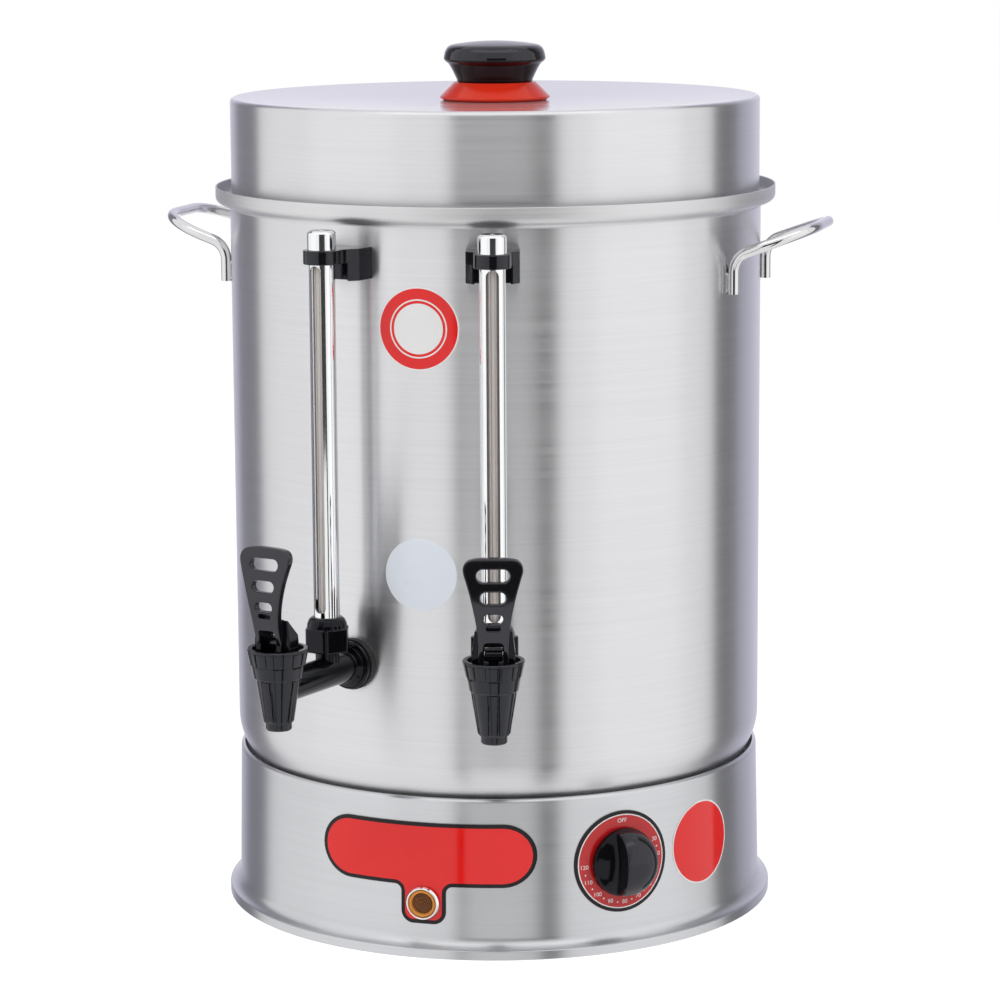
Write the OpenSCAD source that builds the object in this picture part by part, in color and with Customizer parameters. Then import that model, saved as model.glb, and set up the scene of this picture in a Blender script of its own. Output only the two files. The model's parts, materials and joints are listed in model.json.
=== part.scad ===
// Tea urn with two self-closing lever taps.
// A round steel water tank stands on a pedestal base. A brew pot with a lift-out strainer
// hangs in the water, and each tap carries a sight gauge that runs up the front of the tank.
// Millimetres. The urn stands on the XY plane, +Z is up and the front faces -Y.

/* [Tank and base] */
// Outer diameter of the water tank
tank_d = 350; // [320:1:380]
// Height of the tank, from its floor to the top of its rim
tank_h = 397; // [360:1:430]
// Radius of the tank's bottom corner
tank_corner_r = 42; // [32:1:48]
// Height of the base, from the table to its top edge
base_h = 102.5; // [96:0.5:120]
// Depth of the tank floor below the base's top edge
tank_nest = 22.5; // [19:0.5:26]
// Thickness of the tank, lid, pot and base sheet
sheet_t = 1; // [0.8:0.1:1.4]
// Height of the folded lip of the base's foot
foot_h = 6; // [5:0.1:8]
// How far the foot stands out past the base wall
foot_out = 7.2; // [5:0.1:9]

/* [Lid] */
// Height of the lid's edge above the tank rim
lid_rise = 59.5; // [45:0.5:75]
// Depth of the shallow dish in the lid's top
lid_dish = 5; // [3:0.5:8]
// Diameter of the knob's red foot
knob_foot_d = 72.4; // [64:0.2:84]
// Diameter of the knob's black cap
knob_cap_d = 67.2; // [58:0.2:78]
// Height of the whole knob
knob_h = 38.6; // [34:0.2:46]

/* [Taps] */
// Angle of each tap from the front
tap_angle = 15.4; // [13:0.1:22]
// Height of the tap arm above the tank floor
tap_rise = 106; // [98:1:120]
// Distance from the tank wall to the tap's axis
tap_reach = 84; // [78:1:100]
// Outer diameter of the tap arm
arm_d = 19.8; // [19:0.2:22]
// Width of the lever's paddle
lever_w = 36.2; // [32:0.2:40]
// Height of the lever's top above its pin
lever_h = 61; // [57:0.5:70]
// How far the lever tips forward, in degrees
lever_travel = 45; // [30:1:45]
// How far the stem lifts over that travel
stem_lift = 3; // [2:0.1:3.2]

/* [Sight gauges] */
// Distance from the tank wall to the gauge's axis
gauge_reach = 30; // [28:0.5:34]
// Outer diameter of the slotted guard tube
guard_d = 16.3; // [15.6:0.1:17]
// Width of the slot in the guard tube
guard_slot_w = 8; // [6:0.1:9]
// Outer diameter of the glass tube
glass_d = 11; // [10.4:0.1:11.4]

/* [Controls] */
// Angle of the thermostat dial from the front
dial_angle = 42.5; // [38:0.5:50]
// Depth of the dial's centre below the tank floor
dial_drop = 22.5; // [21.5:0.5:26]
// Diameter of the dial plate
dial_d = 66; // [58:0.5:70]
// Diameter of the thermostat knob
dial_knob_d = 45; // [40:0.5:50]
// Width of the front plate, straight across
plate_w = 142; // [110:1:160]
// Height of the front plate without its tab
plate_h = 41; // [34:0.5:44]
// Depth of the front plate's centre line below the base's top edge
plate_drop = 36.5; // [32:0.5:40]
// Height of the signal lamp's centre above the table
lamp_z = 32.7; // [31:0.1:36]

/* [Inside] */
// Outer diameter of the brew pot
pot_d = 200; // [180:1:214]
// Lift of the strainer out of the pot, also its depth
strainer_lift = 70; // [50:1:74]
// Diameter of the heater ring's centre line
heater_d = 210; // [200:1:214]

/* [Handles] */
// Diameter of the handle rod
rod_d = 7; // [6:0.1:8]
// Half the distance between a handle's legs
leg_half = 49.5; // [44:0.5:56]
// Reach of a handle's tip from the tank wall
handle_reach = 48; // [46:0.5:60]
// Upward slope of a handle's loop, in degrees
handle_slope = 20; // [16:1:30]

/* [Hidden] */
$fn = 96;

// Clearance of fixed pieces that meet on curved faces, and of pins and shafts that turn
gap = 0.1;
run = 0.05;

// Tank levels and radii
tank_r = tank_d / 2;
floor_z = base_h - tank_nest;
floor_top = floor_z + sheet_t;
rim_z = floor_z + tank_h;
rim_r = tank_r + 9.5;
ledge_z = rim_z - 10;
bend_r = 3;
wall_in = tank_r - sheet_t;

// Base wall: a slight cone on a flared foot
base_top_r = tank_r - 0.9;
base_low_r = base_top_r + 1.8;
flare_r = foot_out - 0.6;
flare_z = foot_h + 0.3 + flare_r;
foot_r = base_low_r + foot_out;
hem_r = 2.5;
lip_t = 2;
deck_t = 2;
deck_r = foot_r - lip_t - 0.3;
deck_in = base_low_r - 11;
screw_ring = base_low_r - 3;

// Control levels, hung from the tank floor and the base's top edge
dial_z = floor_z - dial_drop;
plate_z = base_h - plate_drop;

// Lid and knob levels
lid_r = tank_r - 1;
lid_edge_z = rim_z + lid_rise;
lid_top = lid_edge_z - lid_dish;
lid_corner = 5;
lid_flat = 46;
knob_foot_h = knob_h * 0.31;

// Tap levels, all above the arm's axis
tap_z = floor_z + tap_rise;
tap_rho = tank_r + tap_reach;
gauge_rho = tank_r + gauge_reach;
seat_z = 21;
cam_gap = 0.3;
pin_z = 29;
pin_r = 1.75;
cam_h = pin_z - seat_z - cam_gap;
cam_k = stem_lift / (lever_travel * PI / 180);
fork_half = 5.7;
leg_out = 9.1;
ear_out = 13;
shank_r = 8;
arm_bore_r = 5;
barrel_top = 15.5;
spigot_z = 9.6;
pocket_z = 17;
stem_r = 3;
flange_t = 3.4;
gasket_t = 4.4;

// Gauge levels
guard_r = guard_d / 2;
guard_in = guard_r - 1;
glass_r = glass_d / 2;
neck_r = 7.5;
neck_top = 22;
nut_z0 = 12.3;
nut_z1 = 27.5;
nut_z2 = 33.8;
clip_top = rim_z - 26;
clip_low = clip_top - 10.4;
clip_foot = clip_top - 21;
cap_top = clip_top + 12;

// Inside levels
pot_r = pot_d / 2;
pot_floor = tap_z - 21;
pot_top = rim_z - 36;
strainer_r = pot_r - 6;
ring_in = heater_d / 2 + 13;
stud_r = ring_in + 7.5;
stud_a = dial_angle + 45;
heater_z = floor_top + 14;
heater_gap = 14;
heater_bend = 9;

// Colours
steel = [0.78, 0.79, 0.8];
bright = [0.88, 0.88, 0.9];
black = [0.12, 0.12, 0.13];
red = [0.75, 0.13, 0.15];
rubber = [0.2, 0.2, 0.21];
brass = [0.72, 0.6, 0.3];
amber = [0.95, 0.6, 0.15];
clear = [0.85, 0.9, 0.92, 0.4];
pale = [0.9, 0.9, 0.88];

// Points on an arc about [x, y], from angle a to angle b in n steps
function arc(x, y, r, a, b, n = 8) =
  [for (i = [0 : n]) let (t = a + (b - a) * i / n) [x + r * cos(t), y + r * sin(t)]];

// Radius of the base wall's outer face at height z
function base_r(z) =
  base_low_r + (base_top_r - base_low_r) * (z - flare_z) / (base_h - flare_z);

// Working face of the lever's cam: its support height grows evenly with the lever's angle
function cam_point(t) =
  let (p = cam_h + cam_k * t * PI / 180)
  [p * sin(t) + cam_k * cos(t), -p * cos(t) + cam_k * sin(t)];

// Places children on a radial axis at angle a and height z: x right, y up, z outward
module radial(a, z) {
  rotate([0, 0, a]) translate([0, 0, z]) rotate([90, 0, 0]) children();
}

// Places children on an upright axis at angle a, radius rho and height z: -y is outward
module upright(a, rho, z) {
  rotate([0, 0, a]) translate([0, -rho, z]) children();
}

// Extrudes a side profile, drawn as [outward, up], across the tangent
module across(w) {
  rotate([90, 0, -90]) linear_extrude(w, center = true) children();
}

// Straight round rod between two points
module rod(p, q, r) {
  d = q - p;
  h = norm(d);
  translate(p) rotate([0, acos(d[2] / h), atan2(d[1], d[0])]) cylinder(h = h, r = r);
}

// Hexagon prism measured across its flats
module hex(af, h) {
  cylinder(h = h, d = af / cos(30), $fn = 6);
}

// Round-ended slot outline, w wide overall and h high
module stadium(w, h) {
  translate([-(w - h) / 2, -h / 2]) square([w - h, h]);
  for (s = [-1, 1]) translate([s * (w - h) / 2, 0]) circle(d = h);
}

// Pan-head screw pointing up from z = 0, with its head below
module pan_screw(head_r, head_h, r, len) {
  translate([0, 0, -head_h]) cylinder(h = head_h, r1 = head_r * 0.75, r2 = head_r);
  cylinder(h = len, r = r);
}

// Layer of the base wall between two offsets from its outer face
module base_layer(o0, o1) {
  rotate_extrude()
    polygon([
      [base_low_r + o0, flare_z], [base_low_r + o1, flare_z],
      [base_top_r + o1, base_h], [base_top_r + o0, base_h]
    ]);
}

// Pedestal base: folded lip, flared foot, slightly conical wall and rounded top edge
module base_shell() {
  t = sheet_t;
  fx = base_low_r + flare_r;
  profile = concat(
    [[foot_r, 0.3], [foot_r, foot_h - 0.5], [foot_r - 0.5, foot_h]],
    arc(fx, flare_z, flare_r, 270, 180, 8),
    arc(base_top_r - hem_r, base_h - hem_r, hem_r, 0, 90, 6),
    arc(base_top_r - hem_r, base_h - hem_r, hem_r - t, 90, 0, 6),
    arc(fx, flare_z, flare_r + t, 180, 245, 6),
    [[foot_r - lip_t, deck_t + t], [deck_in, deck_t + t], [deck_in, deck_t]],
    [[foot_r - lip_t, deck_t], [foot_r - lip_t, 0], [foot_r - 0.3, 0]]
  );
  color(steel) difference() {
    rotate_extrude() polygon(profile);
    for (a = [45 : 90 : 315]) upright(a, screw_ring, deck_t - 1) cylinder(h = 4, r = 1.7);
    radial(0, lamp_z) translate([0, 0, tank_r - 20]) cylinder(h = 40, r = 6.3);
    radial(dial_angle, dial_z) translate([0, 0, tank_r - 20]) cylinder(h = 40, r = 5.3);
    radial(180, 32) translate([0, 0, tank_r - 20]) cylinder(h = 40, r = 8.1);
  }
}

// Bottom plate, flush with the lip, with countersunk holes
module base_plate() {
  color(steel) difference() {
    cylinder(h = deck_t, r = deck_r);
    for (a = [45 : 90 : 315]) upright(a, screw_ring, 0) {
      translate([0, 0, -1]) cylinder(h = 5, r = 1.9);
      translate([0, 0, -0.01]) cylinder(h = 1.8, r1 = 3.7, r2 = 1.9);
    }
  }
}

// Countersunk screws that hold the bottom plate to the shell
module base_screws() {
  color(bright) for (a = [45 : 90 : 315]) upright(a, screw_ring, 0.15) {
    cylinder(h = 1.8, r1 = 3.5, r2 = 1.6);
    cylinder(h = 7, r = 1.6);
  }
}

// Flat ring inside the base that carries the tank
module support_ring() {
  color(steel) difference() {
    translate([0, 0, floor_z - 1.5]) cylinder(h = 1.5, r = base_r(floor_z) - sheet_t - 0.3);
    translate([0, 0, floor_z - 3]) cylinder(h = 6, r = ring_in);
    for (i = [0 : 3]) upright(stud_a + 90 * i, stud_r, floor_z - 3) cylinder(h = 6, r = 3.3);
  }
}

// Nuts on the studs under the tank floor
module tank_nuts() {
  color(bright) for (i = [0 : 3]) upright(stud_a + 90 * i, stud_r, floor_z - 6.5)
    difference() {
      hex(10, 5);
      translate([0, 0, -1]) cylinder(h = 7, r = 3 + run);
    }
}

// Places children on the axis of one heater end, at height z
module heater_end(s, z) {
  upright(180 + s * heater_gap, heater_d / 2, z) translate([-s * heater_bend, 0, 0]) children();
}

// Heater: an open ring above the tank floor whose two ends turn down through it
module heater() {
  r = heater_d / 2;
  b = heater_bend;
  color(bright) {
    translate([0, 0, heater_z]) rotate([0, 0, 90 + heater_gap])
      rotate_extrude(angle = 360 - 2 * heater_gap) translate([r, 0]) circle(r = 4);
    for (s = [-1, 1]) {
      // The bend is a trace thicker and reaches a little way into the ring and the straight end
      upright(180 + s * heater_gap, r, heater_z - b) rotate([90, 0, 0])
        rotate([0, 0, s > 0 ? 87 : 0]) rotate_extrude(angle = 93) translate([b, 0]) circle(r = 4.04);
      heater_end(s, floor_z - 20) cylinder(h = heater_z - b - floor_z + 20.5, r = 3.98);
      heater_end(s, floor_z - 28) cylinder(h = 9, r = 1.5);
    }
  }
}

// Flanged glands that seal the heater's ends in the tank floor
module heater_glands() {
  color(brass) for (s = [-1, 1]) heater_end(s, floor_z)
    difference() {
      union() {
        translate([0, 0, sheet_t]) cylinder(h = 3, r = 9);
        translate([0, 0, -7]) cylinder(h = 8 + sheet_t, r = 6);
        translate([0, 0, -7]) hex(17, 7);
      }
      translate([0, 0, -10]) cylinder(h = 20, r = 4 + run);
    }
}

// Dry-boil cut-out pressed against the tank floor
module dry_boil_cutout() {
  color(black) translate([-45, 20, 0]) {
    translate([0, 0, floor_z - 2]) cylinder(h = 2, r = 12);
    translate([0, 0, floor_z - 12]) cylinder(h = 10, r = 8);
    for (s = [-1, 1]) translate([s * 4 - 0.4, -3, floor_z - 20]) cube([0.8, 6, 8]);
  }
}

// Thermostat housing behind the base wall, with its threaded neck
module thermostat_body() {
  color(pale) radial(dial_angle, dial_z) difference() {
    union() {
      translate([-19, -19, tank_r - 40]) cube([38, 38, 26]);
      translate([0, 0, tank_r - 15]) cylinder(h = 19.5, r = 5);
    }
    translate([0, 0, tank_r - 34]) cylinder(h = 60, r = 3 + run);
  }
}

// Capillary and feeler bulb of the thermostat, held up under the tank floor
module thermostat_probe() {
  a = rotate_xy([0, -(tank_r - 40)], dial_angle);
  p0 = [a[0], a[1], dial_z];
  p1 = [a[0] * 0.78, a[1] * 0.78, dial_z];
  p2 = [60, -20, floor_z - 3.1];
  p3 = [0, -20, floor_z - 3.1];
  color(brass) {
    rod(p0, p1, 0.8);
    translate(p1) sphere(r = 0.8);
    rod(p1, p2, 0.8);
    rod(p2, p3, 3);
  }
}

function rotate_xy(p, a) = [p[0] * cos(a) - p[1] * sin(a), p[0] * sin(a) + p[1] * cos(a)];

// Nut that clamps the thermostat's neck to the base wall
module thermostat_nut() {
  face = base_r(dial_z - 8.5) + 0.9;
  color(bright) radial(dial_angle, dial_z) translate([0, 0, face]) difference() {
    hex(14, 2.6);
    translate([0, 0, -1]) cylinder(h = 6, r = 5 + run);
  }
}

// Thermostat shaft with a flat for the knob
module thermostat_shaft() {
  color(bright) radial(dial_angle, dial_z) difference() {
    translate([0, 0, tank_r - 33]) cylinder(h = 51, r = 3);
    translate([1.6, -5, tank_r + 6.5]) cube([5, 10, 20]);
  }
}

// Half-moon thermostat knob: a round skirt with a drum cut back on one side for the thumb
module thermostat_knob() {
  r = dial_knob_d / 2;
  back = base_r(dial_z) + 1.6;
  h = 20.5;
  drum = concat(
    [[0, 0], [r - 0.6, 0], [r, 0.6], [r, 3.6], [r - 0.5, 4.2], [r - 0.9, 8]],
    arc(r - 7.4, h - 7, 6, 10, 70, 6),
    [[8, h - 0.4], [0, h]]
  );
  color(black) radial(dial_angle, dial_z) translate([0, 0, back]) difference() {
    rotate_extrude() polygon(drum);
    // Thumb side: a shallow hollow wall down to the skirt
    translate([-3.8 - 75, 0, 4.2]) cylinder(h = 30, r1 = 75, r2 = 77.2);
    translate([0, 0, -1]) cylinder(h = 6.4, r = 11);
    difference() {
      translate([0, 0, 4]) cylinder(h = 13, r = 3 + run);
      translate([1.6 + run, -5, 4]) cube([5, 10, 14]);
    }
  }
}

// Round dial plate, bent to the base wall
module dial_plate() {
  color(red) intersection() {
    base_layer(0.2, 0.8);
    radial(dial_angle, dial_z) difference() {
      translate([0, 0, tank_r - 30]) cylinder(h = 60, d = dial_d);
      translate([0, 0, tank_r - 40]) cylinder(h = 80, r = 5.3);
    }
  }
}

// Front plate, bent to the base wall: a round-ended bar with a tab for the lamp
module front_plate() {
  color(red) intersection() {
    base_layer(0.2, 0.7);
    radial(0, 0) difference() {
      translate([0, 0, tank_r - 60]) linear_extrude(120) {
        translate([0, plate_z]) stadium(plate_w, plate_h);
        translate([-14.7, lamp_z - 4]) square([29.4, plate_z - lamp_z]);
        translate([-6.7, lamp_z - 12]) square([13.4, 20]);
        for (s = [-1, 1]) translate([s * 6.7, lamp_z - 4]) circle(r = 8);
      }
      translate([0, lamp_z, tank_r - 70]) cylinder(h = 140, r = 6.3);
    }
  }
}

// Signal lamp: body through the wall, chrome bezel, domed lens, nut behind
module lamp_body() {
  face = base_r(lamp_z - 11) + 0.75;
  color(black) radial(0, lamp_z) {
    translate([0, 0, tank_r - 24]) cylinder(h = face + 0.8 - tank_r + 24, r = 6);
    translate([0, 0, face]) cylinder(h = 0.8, r = 7.5);
    for (s = [-1, 1]) translate([s * 3 - 0.4, -2.5, tank_r - 32]) cube([0.8, 5, 9]);
  }
}

module lamp_bezel() {
  face = base_r(lamp_z - 11) + 0.75;
  color(bright) radial(0, lamp_z) translate([0, 0, face]) rotate_extrude()
    polygon(concat(
      [[7.6, 0], [10.6, 0]],
      arc(9.1, 1.5, 1.5, 0, 90, 5),
      [[8.4, 3], [7.6, 2.4]]
    ));
}

module lamp_lens() {
  face = base_r(lamp_z - 11) + 1.6;
  color(amber) radial(0, lamp_z) translate([0, 0, face]) rotate_extrude()
    polygon(concat([[0, 0]], arc(0, -7.4, 10.4, asin(7.4 / 10.4), 90, 8)));
}

module lamp_nut() {
  face = base_r(lamp_z) - sheet_t - 0.8;
  color(pale) radial(0, lamp_z) translate([0, 0, face - 4]) difference() {
    hex(17, 4);
    translate([0, 0, -1]) cylinder(h = 6, r = 6 + run);
  }
}

// Cord gland at the back of the base, and its nut inside
module cord_gland() {
  face = base_r(19) + 0.1;
  color(black) radial(180, 32) translate([0, 0, face]) difference() {
    union() {
      hex(22, 5);
      translate([0, 0, 5]) cylinder(h = 7, r1 = 10, r2 = 7.5);
      translate([0, 0, -12]) cylinder(h = 13, r = 8);
    }
    translate([0, 0, -20]) cylinder(h = 50, r = 4.2);
  }
}

module gland_nut() {
  face = base_r(32) - sheet_t - 1;
  color(black) radial(180, 32) translate([0, 0, face - 5]) difference() {
    hex(22, 5);
    translate([0, 0, -1]) cylinder(h = 8, r = 8 + run);
  }
}

// Terminal block on the bottom plate
module terminal_block() {
  color(pale) translate([-20, 128, deck_t]) difference() {
    cube([40, 18, 16]);
    for (i = [0 : 2]) translate([8 + 12 * i, 9, 8]) cylinder(h = 10, r = 2.6);
  }
}

// Water tank: rounded bottom, straight wall, and a rim that forms a trough for the lid
module tank() {
  t = sheet_t;
  c = tank_corner_r;
  z1 = ledge_z - t - bend_r;
  up = 4.5;
  outer = concat(
    [[0, floor_z]],
    arc(tank_r - c, floor_z + c, c, -90, 0, 14),
    arc(tank_r + bend_r, z1, bend_r, 180, 90, 6),
    arc(rim_r - up, ledge_z - t + up, up, -90, 0, 7),
    [[rim_r, rim_z - 0.4], [rim_r - 0.4, rim_z]]
  );
  inner = concat(
    [[rim_r - t, rim_z]],
    arc(rim_r - up, ledge_z - t + up, up - t, 0, -90, 7),
    arc(tank_r + bend_r, z1, bend_r + t, 90, 180, 6),
    arc(tank_r - c, floor_z + c, c - t, 0, -90, 14),
    [[0, floor_top]]
  );
  color(steel) difference() {
    union() {
      rotate_extrude() polygon(concat(outer, inner));
      for (i = [0 : 3]) upright(stud_a + 90 * i, stud_r, floor_z - 9) cylinder(h = 9.5, r = 3);
    }
    for (s = [-1, 1]) {
      radial(s * tap_angle, tap_z) translate([0, 0, tank_r - 12]) cylinder(h = 24, r = shank_r + 0.2);
      radial(s * tap_angle, clip_top - 14) translate([0, 0, tank_r - 12]) cylinder(h = 24, r = 2.2);
      heater_end(s, floor_z - 3) cylinder(h = 8, r = 6.1);
    }
  }
}

// Lifting handle: a rod loop that slopes up from two legs welded to the wall
module handle(a) {
  r = rod_d / 2;
  y0 = sqrt(pow(tank_r + r + 0.2, 2) - pow(leg_half, 2));
  bend = 14;
  corner = 34;
  // Straight stretches reach a little way into the bends they join
  lap = 0.5;
  turn = 90 - handle_slope;
  leg_z0 = rim_z - 64;
  leg_h = 14;
  // Where the slope starts, after the leg's bend
  ys = y0 + bend * (1 - cos(turn));
  zs = leg_z0 + leg_h + bend * sin(turn);
  run_y = tank_r + handle_reach - r - ys;
  straight = run_y / cos(handle_slope) - corner;
  color(bright) rotate([0, 0, a]) {
    for (s = [-1, 1]) translate([s * leg_half, -y0, leg_z0]) {
      cylinder(h = leg_h + lap, r = r - 0.02);
      translate([0, 0, leg_h]) rotate([0, 0, -90]) translate([bend, 0, 0]) rotate([90, 0, 0])
        rotate([0, 0, 180 - turn]) rotate_extrude(angle = turn) translate([bend, 0]) circle(r = r);
    }
    // The loop lies in a plane tilted up from the legs' bends
    translate([0, -ys, zs]) rotate([-handle_slope, 0, 0]) {
      for (s = [-1, 1]) {
        translate([s * leg_half, lap, 0]) rotate([90, 0, 0])
          cylinder(h = straight + 2 * lap, r = r - 0.02);
        translate([s * (leg_half - corner), -straight, 0]) rotate([0, 0, s > 0 ? -90 : 180])
          rotate_extrude(angle = 90) translate([corner, 0]) circle(r = r);
      }
      translate([-(leg_half - corner) - lap, -straight - corner, 0]) rotate([0, 90, 0])
        cylinder(h = 2 * (leg_half - corner + lap), r = r - 0.02);
    }
  }
}

module handle_left() {
  handle(-90);
}

module handle_right() {
  handle(90);
}

// Brew pot with a flanged rim, standing in the water
module brew_pot() {
  t = sheet_t;
  c = 20;
  profile = concat(
    [[0, pot_floor - t]],
    arc(pot_r - c, pot_floor - t + c, c, -90, 0, 8),
    [[pot_r, pot_top - t], [pot_r + 6, pot_top - t], [pot_r + 6, pot_top], [pot_r - t, pot_top]],
    arc(pot_r - c, pot_floor - t + c, c - t, 0, -90, 8),
    [[0, pot_floor]]
  );
  color(steel) difference() {
    rotate_extrude() polygon(profile);
    radial(-tap_angle, tap_z) translate([0, 0, pot_r - 20]) cylinder(h = 40, r = 10 + run);
  }
}

// Legs that stand the pot on the tank floor
module pot_legs() {
  color(steel) for (a = [60, 180, 300])
    upright(a, pot_r * 0.66, floor_top) cylinder(h = pot_floor - sheet_t - floor_top, r = 6);
}

// Pipe from the pot's wall to the tank wall, which takes the tea tap's shank
module pot_outlet() {
  color(steel) radial(-tap_angle, tap_z) difference() {
    translate([0, 0, pot_r - 4]) cylinder(h = wall_in - 0.6 - pot_r + 4, r = 10);
    translate([0, 0, pot_r - 10]) cylinder(h = tank_r, r = shank_r + gap);
  }
}

// Strainer that hangs on the pot's rim, with slots in its wall and floor
module strainer_basket() {
  t = sheet_t;
  z0 = pot_top - strainer_lift + 1;
  color(steel) difference() {
    rotate_extrude() polygon([
      [0, z0], [strainer_r - 4, z0], [strainer_r, z0 + 4], [strainer_r, pot_top],
      [pot_r + 4, pot_top], [pot_r + 4, pot_top + t], [strainer_r - t, pot_top + t],
      [strainer_r - t, z0 + 4.4], [strainer_r - 4.4, z0 + t], [0, z0 + t]
    ]);
    for (a = [0 : 15 : 165]) rotate([0, 0, a])
      translate([-1.25, -pot_d, z0 + 12]) cube([2.5, 2 * pot_d, strainer_lift - 26]);
    for (x = [-60 : 12 : 60]) translate([x - 1.25, -sqrt(75 * 75 - x * x), z0 - 1])
      cube([2.5, 2 * sqrt(75 * 75 - x * x), t + 2]);
  }
}

// Two wire grips on the strainer's rim
module strainer_grips() {
  color(bright) for (a = [90, 270]) upright(a, pot_r - 1, pot_top + sheet_t)
    rotate([90, 0, 0]) rotate_extrude(angle = 180) translate([12, 0]) circle(r = 2);
}

// Deep lid: dished top, straight wall, and a flange that rests in the rim's trough
module lid_shell() {
  t = sheet_t;
  c = lid_corner;
  ze = lid_edge_z;
  profile = concat(
    [[3.2, lid_top], [lid_flat, lid_top]],
    arc(lid_r - c, ze - c, c, 90, 0, 8),
    arc(lid_r + 2, ledge_z + t + 2, 2, 180, 270, 5),
    [[tank_r + 5, ledge_z + t], [tank_r + 5, ledge_z]],
    arc(lid_r + 2, ledge_z + t + 2, 2 + t, 270, 180, 5),
    arc(lid_r - c, ze - c, c - t, 0, 90, 8),
    [[lid_flat, lid_top - t], [3.2, lid_top - t]]
  );
  color(steel) rotate_extrude() polygon(profile);
}

// Red foot of the lid knob
module knob_foot() {
  r = knob_foot_d / 2;
  color(red) translate([0, 0, lid_top]) rotate_extrude() polygon([
    [3.2, 0], [r - 2.6, 0], [r, 1.8], [r - 0.4, 2.4],
    [r - 9.4, knob_foot_h - 0.3], [r - 9.8, knob_foot_h], [3.2, knob_foot_h]
  ]);
}

// Black mushroom cap of the lid knob
module knob_cap() {
  r = knob_cap_d / 2;
  z0 = knob_foot_h;
  h = knob_h - z0;
  dome_r = (pow(r - 0.5, 2) + pow(h * 0.37, 2)) / (2 * h * 0.37);
  dome_a = acos((r - 0.5) / dome_r);
  neck_r2 = 22;
  color(black) translate([0, 0, lid_top + z0]) rotate_extrude() polygon(concat(
    [[0, 13], [2.7 + gap, 13], [2.7 + gap, 0], [r - 8.6, 0]],
    arc(r - 8.2 + neck_r2, 0.6, neck_r2, 180, 152, 6),
    [[r - 2.4, h * 0.43], [r - 0.5, h * 0.5], [r, h * 0.56]],
    arc(0, h - dome_r, dome_r, dome_a, 90, 10)
  ));
}

// Screw that holds the knob from inside the lid
module knob_screw() {
  color(bright) translate([0, 0, lid_top - sheet_t]) pan_screw(6, 3.4, 2.7, knob_foot_h + 12);
}

// Tap body: tapered barrel with a nozzle, arm, gauge neck, wall flange and shank
module tap_body(a, shank_len) {
  flange = tank_r + gasket_t;
  barrel = [
    [0, -25.5], [7.4, -25.5], [8.1, -24.6], [8.1, -20.5], [9, -20.5], [9.4, -20],
    [13.6, 7], [14.4, 7], [15, 7.6], [16.2, 14.4], [16.2, barrel_top], [0, barrel_top]
  ];
  chamber = [
    [0, -30], [5.3, -30], [5.3, -9.5], [9, -5.5], [9, spigot_z], [12.4, spigot_z],
    [12.4, 20], [0, 20]
  ];
  color(black) difference() {
    union() {
      upright(a, tap_rho, tap_z) {
        rotate_extrude() polygon(barrel);
        // Four flat ribs down the cone
        intersection() {
          translate([0, 0, -19.5]) cylinder(h = 26, r1 = 10.1, r2 = 14.1);
          for (t = [0, 90]) rotate([0, 0, t]) translate([-3, -30, -20]) cube([6, 60, 40]);
        }
      }
      radial(a, tap_z) {
        translate([0, 0, flange]) cylinder(h = tap_rho - flange, d = arm_d);
        translate([0, 0, flange]) cylinder(h = flange_t, r = 15.5);
        translate([0, 0, flange + flange_t]) cylinder(h = 3, r1 = 13.4, r2 = arm_d / 2);
        translate([0, 0, flange - shank_len]) cylinder(h = shank_len + 1, r = shank_r);
      }
      upright(a, gauge_rho, tap_z) cylinder(h = neck_top, r = neck_r);
    }
    upright(a, tap_rho, tap_z) rotate_extrude() polygon(chamber);
    radial(a, tap_z) translate([0, 0, flange - shank_len - 1])
      cylinder(h = tap_rho - flange + shank_len + 1, r = arm_bore_r);
    upright(a, gauge_rho, tap_z) {
      cylinder(h = 40, r = glass_r - 1.6);
      translate([0, 0, 10]) cylinder(h = 40, r = glass_r + gap);
    }
  }
}

module tea_tap_body() {
  tap_body(-tap_angle, 32);
}

module water_tap_body() {
  tap_body(tap_angle, 22);
}

// Ribbed bonnet that screws into the barrel and guides the stem
module bonnet(a) {
  profile = concat(
    [[stem_r + run, pocket_z], [7.6, pocket_z], [7.6, spigot_z], [12.3, spigot_z]],
    [[12.3, barrel_top], [16.6, barrel_top], [17.2, barrel_top + 0.6]],
    [[19, 25], [18.6, 26], [15.6, 26], [15.6, seat_z], [stem_r + run, seat_z]]
  );
  color(black) upright(a, tap_rho, tap_z) difference() {
    rotate_extrude() polygon(profile);
    // Finger grooves round the collar
    for (i = [0 : 13]) rotate([0, 0, (i + 0.5) * 360 / 14]) translate([0, -17.8, barrel_top - 1])
      rotate([10.8, 0, 0]) cylinder(h = 14, r = 1.5);
  }
}

module tea_bonnet() {
  bonnet(-tap_angle);
}

module water_bonnet() {
  bonnet(tap_angle);
}

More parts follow.
